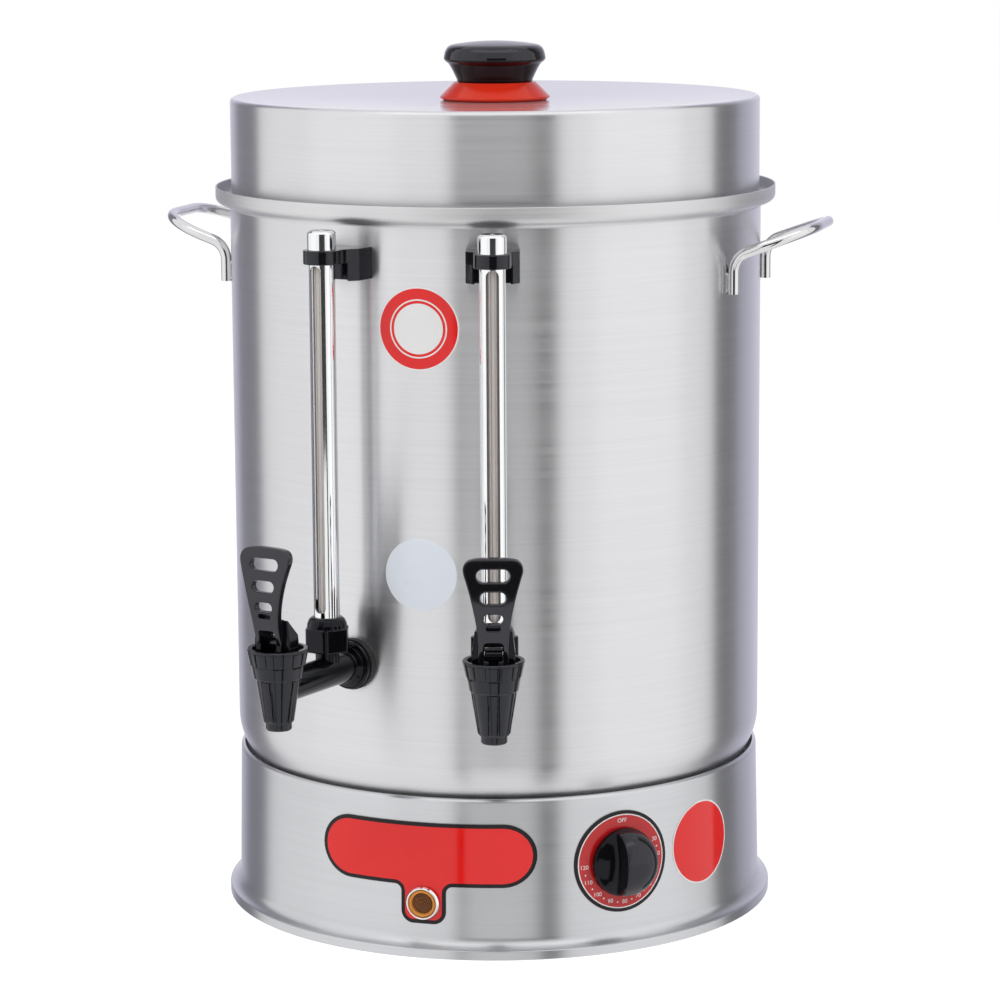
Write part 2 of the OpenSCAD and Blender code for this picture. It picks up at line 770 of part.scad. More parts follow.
// Lever: slotted paddle on a fork whose lower edge is the lifting cam
module lever(a) {
  w = lever_w / 2;
  h = lever_h;
  side = [
    [5.2, -4], [9.3, -4], [9.5, 8], [10.2, 20], [11.1, 36], [11.8, h * 0.8], [12.8, h + 1],
    [8.4, h + 1], [7.4, h * 0.8], [6.7, 36], [5.8, 20], [5.2, 10]
  ];
  face = concat(
    [[leg_out, -4], [leg_out, 8.5], [10.2, 20], [w * 0.7, 31.5], [w * 0.85, 43], [w - 0.2, h - 10.5]],
    arc(w - 8, h - 8.8, 8, 0, 84, 6),
    [[0, h]],
    arc(-w + 8, h - 8.8, 8, 96, 180, 6),
    [[-w + 0.2, h - 10.5], [-w * 0.85, 43], [-w * 0.7, 31.5], [-10.2, 20], [-leg_out, 8.5], [-leg_out, -4]]
  );
  cam = [for (t = [0 : 5 : lever_travel]) cam_point(t)];
  leg = concat([[-4.5, -cam_h]], cam, [[9.4, 2], [9.5, 8], [10, 17.5], [5.7, 17.8], [-4.5, 6.5]]);
  ear = [[-4.5, -cam_h], [cam_k, -cam_h], [6.2, -cam_h + 0.8], [6.2, 17.5], [5.4, 17.5], [-4.5, 6.5]];
  slots = [[h - 10.5, 20, 7.6], [h - 23.8, 15.5, 7.2], [h - 36.6, 12, 6]];
  color(black) upright(a, tap_rho, tap_z + pin_z) difference() {
    union() {
      intersection() {
        across(2 * lever_w) polygon(side);
        rotate([90, 0, 0]) linear_extrude(60) polygon(face);
      }
      across(2 * leg_out) polygon(leg);
      across(2 * ear_out) polygon(ear);
    }
    // Fork gap, open to the front so the stem can pass
    translate([-fork_half, -40, -20]) cube([2 * fork_half, 60, 29]);
    translate([-fork_half, -5.2, -20]) cube([2 * fork_half, 30, 60]);
    for (s = slots) translate([0, 0, s[0]]) rotate([90, 0, 0])
      linear_extrude(60) stadium(s[1], s[2]);
    rotate([0, 90, 0]) cylinder(h = 60, r = pin_r + 0.02, center = true);
  }
}

module tea_lever() {
  lever(-tap_angle);
}

module water_lever() {
  lever(tap_angle);
}

// Pivot pin through the fork and the stem's eye
module pivot_pin(a) {
  color(bright) upright(a, tap_rho, tap_z + pin_z) rotate([0, 90, 0])
    cylinder(h = 2 * ear_out - 1, r = pin_r, center = true);
}

module tea_pin() {
  pivot_pin(-tap_angle);
}

module water_pin() {
  pivot_pin(tap_angle);
}

// Valve stem with an eye for the pin and a spigot for the seal
module stem(a) {
  color(pale) upright(a, tap_rho, tap_z) difference() {
    union() {
      translate([0, 0, -3]) cylinder(h = pin_z + 3, r = stem_r);
      translate([0, 0, -6.5]) cylinder(h = 4, r = 1.8);
      translate([0, 0, pin_z]) rotate([0, 90, 0])
        cylinder(h = 2 * fork_half - 0.6, r = 4.4, center = true);
    }
    translate([0, 0, pin_z]) rotate([0, 90, 0]) cylinder(h = 40, r = pin_r + run, center = true);
  }
}

module tea_stem() {
  stem(-tap_angle);
}

module water_stem() {
  stem(tap_angle);
}

// Soft cone seal on the stem's lower end
module seal(a) {
  color(rubber) upright(a, tap_rho, tap_z) rotate_extrude() polygon([
    [0, -8.8], [5.4, -8.8], [8.5, -5.3], [8.5, -3], [1.8 + run, -3], [1.8 + run, -6.6], [0, -6.6]
  ]);
}

module tea_seal() {
  seal(-tap_angle);
}

module water_seal() {
  seal(tap_angle);
}

// Closing spring: a helix between the seal and the bonnet
module spring(a) {
  turns = 7;
  steps = 14;
  sides = 6;
  wire = 0.55;
  coil = 5.4;
  z0 = -3 + wire + 0.05;
  z1 = pocket_z - wire - 0.05;
  n = turns * steps;
  pts = [for (i = [0 : n]) for (j = [0 : sides - 1])
    let (t = 360 * i / steps, q = 360 * j / sides, c = coil + wire * cos(q))
    [c * cos(t), c * sin(t), z0 + (z1 - z0) * i / n + wire * sin(q)]];
  skin = [for (i = [0 : n - 1]) for (j = [0 : sides - 1])
    let (k = (j + 1) % sides)
    [i * sides + j, (i + 1) * sides + j, (i + 1) * sides + k, i * sides + k]];
  first = [for (j = [0 : sides - 1]) j];
  last = [for (j = [sides - 1 : -1 : 0]) n * sides + j];
  color(bright) upright(a, tap_rho, tap_z)
    polyhedron(points = pts, faces = concat(skin, [first], [last]), convexity = 10);
}

module tea_spring() {
  spring(-tap_angle);
}

module water_spring() {
  spring(tap_angle);
}

// Gaskets between the tap flanges and the tank wall, hollowed to fit it
module tap_gaskets() {
  color(rubber) for (s = [-1, 1]) difference() {
    radial(s * tap_angle, tap_z) difference() {
      translate([0, 0, tank_r - 6]) cylinder(h = gasket_t + 6, r = 16.3);
      translate([0, 0, tank_r - 20]) cylinder(h = 60, r = shank_r + gap);
    }
    translate([0, 0, tap_z - 40]) cylinder(h = 80, r = tank_r + gap, $fn = 480);
  }
}

// Lock nut of the water tap, inside the tank
module water_lock_nut() {
  color(brass) radial(tap_angle, tap_z) translate([0, 0, wall_in - 7.8]) difference() {
    hex(26, 7);
    translate([0, 0, -1]) cylinder(h = 10, r = shank_r + run);
  }
}

// Gland nuts that clamp the gauge tubes on the tap necks
module gauge_nuts() {
  color(black) for (s = [-1, 1]) upright(s * tap_angle, gauge_rho, tap_z) difference() {
    union() {
      translate([0, 0, nut_z0]) hex(25.6, nut_z1 - nut_z0);
      translate([0, 0, nut_z1]) rotate_extrude() polygon([
        [0, 0], [12.6, 0], [12.2, 2], [10.6, 4.4], [9.4, nut_z2 - nut_z1], [0, nut_z2 - nut_z1]
      ]);
    }
    translate([0, 0, nut_z0 - 1]) cylinder(h = 40, r = neck_r + gap);
    translate([0, 0, neck_top + 1]) cylinder(h = 40, r = guard_r + gap);
  }
}

// Rubber rings that seal the glass tubes
module gauge_seals() {
  color(rubber) for (s = [-1, 1]) upright(s * tap_angle, gauge_rho, tap_z + neck_top) difference() {
    cylinder(h = 5, r = guard_in - gap);
    translate([0, 0, -1]) cylinder(h = 8, r = glass_r + gap);
  }
}

// Glass sight tubes
module gauge_glasses() {
  color(clear) for (s = [-1, 1]) upright(s * tap_angle, gauge_rho, tap_z + 10.2) difference() {
    cylinder(h = clip_top + 3 - tap_z - 10.2, r = glass_r);
    translate([0, 0, -1]) cylinder(h = 600, r = glass_r - 1.3);
  }
}

// Bright guard tube with a long round-ended slot facing outward
module guard(a) {
  z0 = tap_z + neck_top + 1;
  s0 = tap_z + nut_z2 + 9;
  s1 = clip_low - 3;
  color(bright) difference() {
    upright(a, gauge_rho, z0) difference() {
      cylinder(h = clip_top + 6 - z0, r = guard_r);
      translate([0, 0, -1]) cylinder(h = 600, r = guard_in);
    }
    radial(a, (s0 + s1) / 2) translate([0, 0, gauge_rho]) linear_extrude(20)
      rotate([0, 0, 90]) stadium(s1 - s0 + guard_slot_w, guard_slot_w);
  }
}

module tea_guard() {
  guard(-tap_angle);
}

module water_guard() {
  guard(tap_angle);
}

// Bright caps on the guard tubes, each with a sleeve that centres the glass
module gauge_caps() {
  color(bright) for (s = [-1, 1]) upright(s * tap_angle, gauge_rho, clip_top) rotate_extrude()
    polygon([
      [glass_r + gap, -4], [guard_in - gap, -4], [guard_in - gap, 6.2], [guard_r + gap, 6.2],
      [guard_r + gap, 0], [8.9, 0], [8.9, 10.4], [7.6, 12], [1.5, 12], [1.5, 9],
      [glass_r + gap, 9]
    ]);
}

// Clip that holds the guard tube off the tank wall
module bracket(a) {
  color(black) difference() {
    union() {
      upright(a, gauge_rho, clip_low) cylinder(h = clip_top - clip_low, r = 11.5);
      upright(a, 0, clip_foot) {
        // Block against the wall with two side cheeks
        translate([-10, -gauge_rho + 2, clip_low - clip_foot])
          cube([20, gauge_reach + 2, clip_top - clip_low]);
        translate([-17, -gauge_rho + 13, 0]) cube([34, gauge_reach, clip_top - clip_foot]);
      }
    }
    translate([0, 0, clip_foot - 5]) cylinder(h = 40, r = tank_r + gap, $fn = 480);
    upright(a, gauge_rho, clip_foot - 1) cylinder(h = 40, r = guard_r + gap);
    // Pocket below the ring, and the rounded lower corners of the cheeks
    upright(a, 0, clip_foot - 1) translate([-11, -gauge_rho - 20, 0])
      cube([22, 36, clip_low - clip_foot + 1]);
    radial(a, clip_top - 14) translate([0, 0, tank_r - 20]) cylinder(h = 32, r = 2);
  }
}

module tea_bracket() {
  bracket(-tap_angle);
}

module water_bracket() {
  bracket(tap_angle);
}

// Screws from inside the tank into the clips
module bracket_screws() {
  color(bright) for (s = [-1, 1]) radial(s * tap_angle, clip_top - 14)
    translate([0, 0, wall_in - 0.1]) pan_screw(4, 2.4, 1.95, 12);
}

base_shell();
base_plate();
base_screws();
support_ring();
tank_nuts();
heater();
heater_glands();
dry_boil_cutout();
thermostat_body();
thermostat_probe();
thermostat_nut();
thermostat_shaft();
thermostat_knob();
dial_plate();
front_plate();
lamp_body();
lamp_bezel();
lamp_lens();
lamp_nut();
cord_gland();
gland_nut();
terminal_block();
tank();
handle_left();
handle_right();
brew_pot();
pot_legs();
pot_outlet();
strainer_basket();
strainer_grips();
lid_shell();
knob_foot();
knob_cap();
knob_screw();
tea_tap_body();
tea_bonnet();
tea_lever();
tea_pin();
tea_stem();
tea_seal();
tea_spring();
water_tap_body();
water_bonnet();
water_lever();
water_pin();
water_stem();
water_seal();
water_spring();
tap_gaskets();
water_lock_nut();
gauge_nuts();
gauge_seals();
gauge_glasses();
tea_guard();
water_guard();
gauge_caps();
tea_bracket();
water_bracket();
bracket_screws();
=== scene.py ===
"""Looks of a steel tea urn with two lever taps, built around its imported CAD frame.

Sizes in the classes are millimetres, as in the part's source, and finished meshes are metres.
The urn stands on the XY plane, +Z is up and the front faces -Y.
"""

import json
import logging
import math
from dataclasses import dataclass
from enum import Enum
from typing import Callable, Iterable, Sequence

import bmesh
import bpy
from mathutils import Matrix, Vector


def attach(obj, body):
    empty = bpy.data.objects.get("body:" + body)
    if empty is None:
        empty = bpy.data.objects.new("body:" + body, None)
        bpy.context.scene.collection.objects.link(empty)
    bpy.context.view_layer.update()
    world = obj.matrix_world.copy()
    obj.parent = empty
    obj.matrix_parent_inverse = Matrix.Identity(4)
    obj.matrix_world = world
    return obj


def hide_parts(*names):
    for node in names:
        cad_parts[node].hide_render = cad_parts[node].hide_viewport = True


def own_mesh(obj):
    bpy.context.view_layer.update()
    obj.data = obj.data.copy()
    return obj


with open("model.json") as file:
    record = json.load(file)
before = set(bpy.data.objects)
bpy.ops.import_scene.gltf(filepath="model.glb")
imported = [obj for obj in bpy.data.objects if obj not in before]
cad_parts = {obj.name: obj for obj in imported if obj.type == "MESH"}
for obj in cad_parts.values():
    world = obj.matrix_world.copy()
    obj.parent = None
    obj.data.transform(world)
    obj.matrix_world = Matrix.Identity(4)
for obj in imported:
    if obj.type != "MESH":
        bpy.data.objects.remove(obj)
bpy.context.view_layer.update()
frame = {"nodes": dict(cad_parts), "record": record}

LOG = logging.getLogger("tea_urn")
MM = 0.001  # metres in a millimetre
TINY = 1e-6  # a smaller radius or width counts as none
MERGE = 2e-4  # points nearer than this, in millimetres, become one
BLUNT = math.radians(177)  # a wider corner isn't rounded
SIDE_SHARE = 0.48  # share of a side that one rounding may take
TURNING = "turning"  # UV map of turned pieces
MOULDED_EDGE = 30.0  # degrees past which a moulding's edge is crisp
KNOB_EDGE = 40.0  # the same for the dial's knob
FIGURE_SHARE = 0.7  # height of a figure in its font's size
PRINT_STEP = 3.0  # width of the strips that a print bends in, in millimetres
Point = tuple[float, float]
Colour = tuple[float, float, float]
Shape = bmesh.types.BMesh


class Body(str, Enum):
    """CAD bodies that pieces ride on."""

    URN = "urn"
    LID = "lid"
    DIAL = "dial"
    TEA_HANDLE = "tea_handle"
    WATER_HANDLE = "water_handle"


class Slot(str, Enum):
    """Material slots of the record."""

    STEEL = "brushed_steel"
    BRIGHT = "bright_steel"
    BLACK = "black_plastic"
    RED_PLASTIC = "red_plastic"
    RED_ENAMEL = "red_enamel"
    PALE = "pale_plastic"
    AMBER = "amber_lens"
    RUBBER = "rubber"
    BRASS = "brass"
    GLASS = "sight_glass"


class Side(Enum):
    """The two taps with their gauges, by the sign of their angle from the front."""

    TEA = -1
    WATER = 1

    @property
    def key(self) -> str:
        """Prefix of this side's CAD nodes."""
        return self.name.lower()

    @property
    def handle(self) -> Body:
        """Body of this side's lever."""
        return Body[self.name + "_HANDLE"]


# ---- Outlines and meshes


def arc(x: float, y: float, r: float, start: float, end: float, steps: int = 12) -> list[Point]:
    """Points on an arc.

    Args:
        x: Centre, first coordinate.
        y: Centre, second coordinate.
        r: Radius.
        start: First angle in degrees.
        end: Last angle in degrees.
        steps: Number of chords.

    Returns:
        The points, both ends included.
    """
    turns = [math.radians(start + (end - start) * i / steps) for i in range(steps + 1)]
    return [(x + r * math.cos(t), y + r * math.sin(t)) for t in turns]


def rounded(corners: Sequence[tuple[float, float, float]], steps: int = 4) -> list[Point]:
    """Rounds the corners of a closed outline.

    Args:
        corners: Corners as (x, y, radius); radius 0 stays sharp.
        steps: Chords in each rounding.

    Returns:
        The outline's points.
    """
    points: list[Point] = []
    for i, (x, y, r) in enumerate(corners):
        here = Vector((x, y))
        back = Vector(corners[i - 1][:2]) - here
        ahead = Vector(corners[(i + 1) % len(corners)][:2]) - here
        angle = back.angle(ahead, math.pi)
        if r <= 0 or angle > BLUNT:
            points.append((x, y))
            continue
        reach = min(r / math.tan(angle / 2), SIDE_SHARE * back.length, SIDE_SHARE * ahead.length)
        centre = here + (back.normalized() + ahead.normalized()).normalized() * reach / math.cos(angle / 2)
        first = here + back.normalized() * reach - centre
        last = here + ahead.normalized() * reach - centre
        a0, a1 = math.atan2(first.y, first.x), math.atan2(last.y, last.x)
        sweep = (a1 - a0 + math.pi) % math.tau - math.pi
        for k in range(steps + 1):
            t = a0 + sweep * k / steps
            points.append((centre.x + first.length * math.cos(t), centre.y + first.length * math.sin(t)))
    return points


def stadium(width: float, height: float, steps: int = 12) -> list[Point]:
    """Round-ended slot outline about the origin."""
    x = (width - height) / 2
    return arc(x, 0, height / 2, -90, 90, steps) + arc(-x, 0, height / 2, 90, 270, steps)


def curved(points: Sequence[Point], steps: int = 6) -> list[Point]:
    """Smooth open curve through points.

    Args:
        points: Points that the curve passes.
        steps: Chords between two points.

    Returns:
        The curve's points, both ends included.
    """
    ends = [points[0], *points, points[-1]]
    line: list[Point] = []
    for a, b, c, d in zip(ends, ends[1:], ends[2:], ends[3:]):
        for k in range(steps):
            t = k / steps
            line.append(tuple(
                0.5 * (2 * q + (r - p) * t + (2 * p - 5 * q + 4 * r - e) * t**2 + (3 * q - p - 3 * r + e) * t**3)
                for p, q, r, e in zip(a, b, c, d)
            ))
    return line + [points[-1]]


def upright(angle: float, rho: float, z: float) -> Matrix:
    """Place on an upright axis at an angle from the front, a distance and a height: -y is outward."""
    return Matrix.Rotation(math.radians(angle), 4, "Z") @ Matrix.Translation((0, -rho, z))


def radial(angle: float, z: float, out: float = 0.0) -> Matrix:
    """Place on a radial axis: x to the right, y up, z outward, starting at a distance from the urn's axis."""
    return upright(angle, out, z) @ Matrix.Rotation(math.radians(90), 4, "X")


def turned(
    profile: Sequence[Point], segments: int = 128, ripple: Callable[[float, float, float], float] | None = None
) -> Shape:
    """Turns a closed profile about the Z axis.

    Args:
        profile: Closed outline as (radius, height).
        segments: Steps around the axis.
        ripple: Optional function of (turn from the front, radius, height) that gives the radius there.

    Returns:
        A shape whose UV map "turning" runs round the axis in u and along the profile in v.
    """
    shape = bmesh.new()
    uv = shape.loops.layers.uv.new(TURNING)
    rings: list[list[bmesh.types.BMVert]] = []
    run = [0.0]
    for j, (r, z) in enumerate(profile):
        if j:
            run.append(run[-1] + math.dist(profile[j - 1], (r, z)) * MM)
        if r < TINY:
            rings.append([shape.verts.new((0, 0, z))])
            continue
        ring = []
        for i in range(segments):
            t = math.tau * i / segments
            here = ripple(t, r, z) if ripple else r
            ring.append(shape.verts.new((here * math.sin(t), -here * math.cos(t), z)))
        rings.append(ring)
    run.append(run[-1] + math.dist(profile[-1], profile[0]) * MM)
    for j, low in enumerate(rings):
        high = rings[(j + 1) % len(rings)]
        if len(low) == 1 and len(high) == 1:
            continue
        for i in range(segments):
            k = (i + 1) % segments
            if len(low) == 1:
                corners = [(low[0], i + 0.5, j), (high[k], i + 1, j + 1), (high[i], i, j + 1)]
            elif len(high) == 1:
                corners = [(low[i], i, j), (low[k], i + 1, j), (high[0], i + 0.5, j + 1)]
            else:
                corners = [(low[i], i, j), (low[k], i + 1, j), (high[k], i + 1, j + 1), (high[i], i, j + 1)]
            face = shape.faces.new([c[0] for c in corners])
            for loop, (_, u, v) in zip(face.loops, corners):
                loop[uv].uv = (u / segments, run[v])
    return shape


def moved(shape: Shape, place: Matrix) -> Shape:
    """Puts a shape in a place and returns it."""
    shape.transform(place)
    return shape


def shifted(shape: Shape, x: float = 0.0, y: float = 0.0, z: float = 0.0) -> Shape:
    """Shifts a shape and returns it."""
    return moved(shape, Matrix.Translation((x, y, z)))


def mapped(shape: Shape, rule: Callable[[Vector], Vector]) -> Shape:
    """Moves each point of a shape by a rule.

    Args:
        shape: The shape to bend.
        rule: Where a point goes.

    Returns:
        The same shape.
    """
    for vert in shape.verts:
        vert.co = rule(vert.co)
    return shape


def sliced(shape: Shape, axis: int, levels: Iterable[float]) -> Shape:
    """Cuts a shape's faces along planes so that it can bend there.

    Args:
        shape: The shape to cut.
        axis: 0, 1 or 2 for planes across X, Y or Z.
        levels: Where the planes stand on that axis.

    Returns:
        The same shape.
    """
    normal = Vector([float(i == axis) for i in range(3)])
    for level in levels:
        parts = shape.verts[:] + shape.edges[:] + shape.faces[:]
        bmesh.ops.bisect_plane(shape, geom=parts, dist=1e-5, plane_co=normal * level, plane_no=normal)
    return shape


def softened(shape: Shape, edges: Sequence[bmesh.types.BMEdge], radius: float) -> Shape:
    """Rounds some of a shape's edges.

    Args:
        shape: The shape.
        edges: Its edges to round.
        radius: Width of the rounding.

    Returns:
        The same shape.
    """
    bmesh.ops.bevel(
        shape, geom=edges, offset=radius, offset_type="OFFSET", segments=3, profile=0.5, affect="EDGES",
        clamp_overlap=True,
    )
    return shape


def wire(path: Iterable[Sequence[float]]) -> Shape:
    """Joins points by edges, for the rod tree.

    Args:
        path: The points in order.

    Returns:
        A shape of edges alone.
    """
    shape = bmesh.new()
    points = [shape.verts.new(p) for p in path]
    for a, b in zip(points, points[1:]):
        shape.edges.new((a, b))
    return shape


def linked(name: str, data: bpy.types.ID) -> bpy.types.Object:
    """Makes an object and puts it in the scene.

    Args:
        name: Name of the object.
        data: Its mesh, curve, light or camera.

    Returns:
        The object.
    """
    obj = bpy.data.objects.new(name, data)
    bpy.context.scene.collection.objects.link(obj)
    return obj


def shape_of(data: bpy.types.ID) -> Shape:
    """Turns curve or text data into a shape.

    Args:
        data: The curve or text; its object is removed.

    Returns:
        The shape.
    """
    holder = linked("holder", data)
    mesh = bpy.data.meshes.new_from_object(holder.evaluated_get(bpy.context.evaluated_depsgraph_get()))
    shape = bmesh.new()
    shape.from_mesh(mesh)
    bpy.data.objects.remove(holder)
    bpy.data.meshes.remove(mesh)
    return shape


def slab(outlines: Sequence[Sequence[Point]], thickness: float, bevel: float = 0.0, rounds: int = 2) -> Shape:
    """Plate with holes and rounded edges, centred on the XY plane.

    Args:
        outlines: The outer outline, then the holes.
        thickness: Full thickness.
        bevel: Radius of the edges.
        rounds: Steps in an edge's rounding.

    Returns:
        The plate.
    """
    curve = bpy.data.curves.new("outline", "CURVE")
    curve.dimensions = "2D"
    curve.fill_mode = "BOTH"
    curve.extrude = thickness / 2 - bevel
    curve.bevel_depth = bevel
    curve.bevel_resolution = rounds
    curve.offset = -bevel
    for n, outline in enumerate(outlines):
        area = sum(a[0] * b[1] - b[0] * a[1] for a, b in zip(outline, [*outline[1:], outline[0]]))
        # The outer outline runs clockwise and holes the other way, so that edges round into the plate
        points = list(outline) if (area < 0) == (n == 0) else list(reversed(outline))
        spline = curve.splines.new("POLY")
        spline.points.add(len(points) - 1)
        spline.points.foreach_set("co", [c for x, y in points for c in (x, y, 0.0, 1.0)])
        spline.use_cyclic_u = True
    return shape_of(curve)


def lettering(text: str, height: float, thickness: float) -> Shape:
    """Generic figures as a shape, centred on the origin.

    Args:
        text: Figures or a plain switch word.
        height: Height of the figures.
        thickness: Thickness of the print.

    Returns:
        The figures lying on the XY plane.
    """
    font = bpy.data.curves.new("figures", "FONT")
    font.body = text
    font.size = height / FIGURE_SHARE
    font.align_x = "CENTER"
    font.align_y = "CENTER"
    font.extrude = thickness / 2
    font.resolution_u = 3
    return shape_of(font)


def piece(name: str, shapes: Sequence[Shape], sharp: float = 35.0) -> bpy.types.Object:
    """Joins shapes in millimetres into one object in metres.

    Args:
        name: Name of the object.
        shapes: Closed shapes; they are used up.
        sharp: Edges bent further than this many degrees stay crisp.

    Returns:
        The object, at the origin, with its place in its mesh.
    """
    whole = bmesh.new()
    mesh = bpy.data.meshes.new(name)
    for shape in shapes:
        bmesh.ops.remove_doubles(shape, verts=shape.verts, dist=MERGE)
        bmesh.ops.recalc_face_normals(shape, faces=shape.faces)
        shape.to_mesh(mesh)
        shape.free()
        whole.from_mesh(mesh)
    bmesh.ops.scale(whole, vec=(MM, MM, MM), verts=whole.verts)
    for face in whole.faces:
        face.material_index = 0
    whole.to_mesh(mesh)
    whole.free()
    mesh.shade_smooth()
    mesh.set_sharp_from_angle(angle=math.radians(sharp))
    obj = linked(name, mesh)
    # Large faces keep their own normals, so that only the roundings look bent
    modifier = obj.modifiers.new("even", "WEIGHTED_NORMAL")
    modifier.keep_sharp = True
    modifier.weight = 80
    view = bpy.context.evaluated_depsgraph_get()
    even = bpy.data.meshes.new_from_object(obj.evaluated_get(view), preserve_all_data_layers=True, depsgraph=view)
    obj.modifiers.remove(modifier)
    obj.data = even
    bpy.data.meshes.remove(mesh)
    even.name = name
    return obj


# ---- Geometry Nodes trees


class Trees:
    """Geometry Nodes trees for what repeats or follows a path."""

    @staticmethod
    def _start(name: str, sizes: dict[str, str]) -> tuple[bpy.types.NodeTree, bpy.types.Node, bpy.types.Node]:
        """Makes a tree with a geometry socket, named size sockets and a material socket.

        Args:
            name: Name of the tree.
            sizes: Socket types of its size inputs, by their names.

        Returns:
            The tree, its input node and its output node.
        """
        tree = bpy.data.node_groups.new(name, "GeometryNodeTree")
        tree.interface.new_socket(name="Geometry", in_out="OUTPUT", socket_type="NodeSocketGeometry")
        tree.interface.new_socket(name="Geometry", in_out="INPUT", socket_type="NodeSocketGeometry")
        for label, kind in sizes.items():
            tree.interface.new_socket(name=label, in_out="INPUT", socket_type=kind)
        tree.interface.new_socket(name="Finish", in_out="INPUT", socket_type="NodeSocketMaterial")
        return tree, tree.nodes.new("NodeGroupInput"), tree.nodes.new("NodeGroupOutput")

    @staticmethod
    def _end(
        tree: bpy.types.NodeTree, given: bpy.types.Node, result: bpy.types.Node, last: bpy.types.NodeSocket
    ) -> None:
        """Ends a tree in Realize Instances and Set Material.

        Args:
            tree: The tree.
            given: Its input node.
            result: Its output node.
            last: The geometry to put out.
        """
        real = tree.nodes.new("GeometryNodeRealizeInstances")
        paint = tree.nodes.new("GeometryNodeSetMaterial")
        tree.links.new(last, real.inputs["Geometry"])
        tree.links.new(real.outputs["Geometry"], paint.inputs["Geometry"])
        tree.links.new(given.outputs["Finish"], paint.inputs["Material"])
        tree.links.new(paint.outputs["Geometry"], result.inputs["Geometry"])

    @classmethod
    def rod(cls) -> bpy.types.NodeTree:
        """Round rod along a path of edges, with inputs Radius and Sides.

        Returns:
            The tree, made at its first use.
        """
        if "rod_along_path" in bpy.data.node_groups:
            return bpy.data.node_groups["rod_along_path"]
        tree, given, result = cls._start("rod_along_path", {"Radius": "NodeSocketFloat", "Sides": "NodeSocketInt"})
        path = tree.nodes.new("GeometryNodeMeshToCurve")
        ring = tree.nodes.new("GeometryNodeCurvePrimitiveCircle")
        sweep = tree.nodes.new("GeometryNodeCurveToMesh")
        sweep.inputs["Fill Caps"].default_value = True
        tree.links.new(given.outputs["Geometry"], path.inputs["Mesh"])
        tree.links.new(given.outputs["Radius"], ring.inputs["Radius"])
        tree.links.new(given.outputs["Sides"], ring.inputs["Resolution"])
        tree.links.new(path.outputs["Curve"], sweep.inputs["Curve"])
        tree.links.new(ring.outputs["Curve"], sweep.inputs["Profile Curve"])
        cls._end(tree, given, result, sweep.outputs["Mesh"])
        return tree

    @classmethod
    def ring(cls) -> bpy.types.NodeTree:
        """Copies of a shape turned about the Z axis, with inputs Count and Step in radians.

        Returns:
            The tree, made at its first use.
        """
        if "ring_of_copies" in bpy.data.node_groups:
            return bpy.data.node_groups["ring_of_copies"]
        tree, given, result = cls._start("ring_of_copies", {"Count": "NodeSocketInt", "Step": "NodeSocketFloat"})
        points = tree.nodes.new("GeometryNodePoints")
        copies = tree.nodes.new("GeometryNodeInstanceOnPoints")
        index = tree.nodes.new("GeometryNodeInputIndex")
        turn = tree.nodes.new("ShaderNodeMath")
        turn.operation = "MULTIPLY"
        axis = tree.nodes.new("ShaderNodeCombineXYZ")
        tree.links.new(given.outputs["Count"], points.inputs["Count"])
        tree.links.new(index.outputs["Index"], turn.inputs[0])
        tree.links.new(given.outputs["Step"], turn.inputs[1])
        tree.links.new(turn.outputs["Value"], axis.inputs["Z"])
        tree.links.new(points.outputs["Points"], copies.inputs["Points"])
        tree.links.new(given.outputs["Geometry"], copies.inputs["Instance"])
        tree.links.new(axis.outputs["Vector"], copies.inputs["Rotation"])
        cls._end(tree, given, result, copies.outputs["Instances"])
        return tree

    @staticmethod
    def bake(tree: bpy.types.NodeTree, source: Shape, finish: "Finish", **sizes: float) -> Shape:
        """Runs a tree on a shape and returns the plain result.

        Args:
            tree: One of the trees of this class.
            source: The shape that goes in; it is used up.
            finish: Finish of the result.
            **sizes: Values of the tree's named inputs.

        Returns:
            The baked shape.
        """
        mesh = bpy.data.meshes.new("source")
        source.to_mesh(mesh)
        source.free()
        holder = linked("holder", mesh)
        modifier = holder.modifiers.new("tree", "NODES")
        modifier.node_group = tree
        for socket in tree.interface.items_tree:
            if socket.item_type != "SOCKET" or socket.in_out != "INPUT":
                continue
            if socket.name in sizes:
                modifier[socket.identifier] = sizes[socket.name]
            elif socket.name == "Finish":
                modifier[socket.identifier] = finish.material()
        baked = bpy.data.meshes.new_from_object(holder.evaluated_get(bpy.context.evaluated_depsgraph_get()))
        holder.modifiers.remove(modifier)
        bpy.data.objects.remove(holder)
        shape = bmesh.new()
        shape.from_mesh(baked)
        bpy.data.meshes.remove(baked)
        bpy.data.meshes.remove(mesh)
        return shape


# ---- Finishes


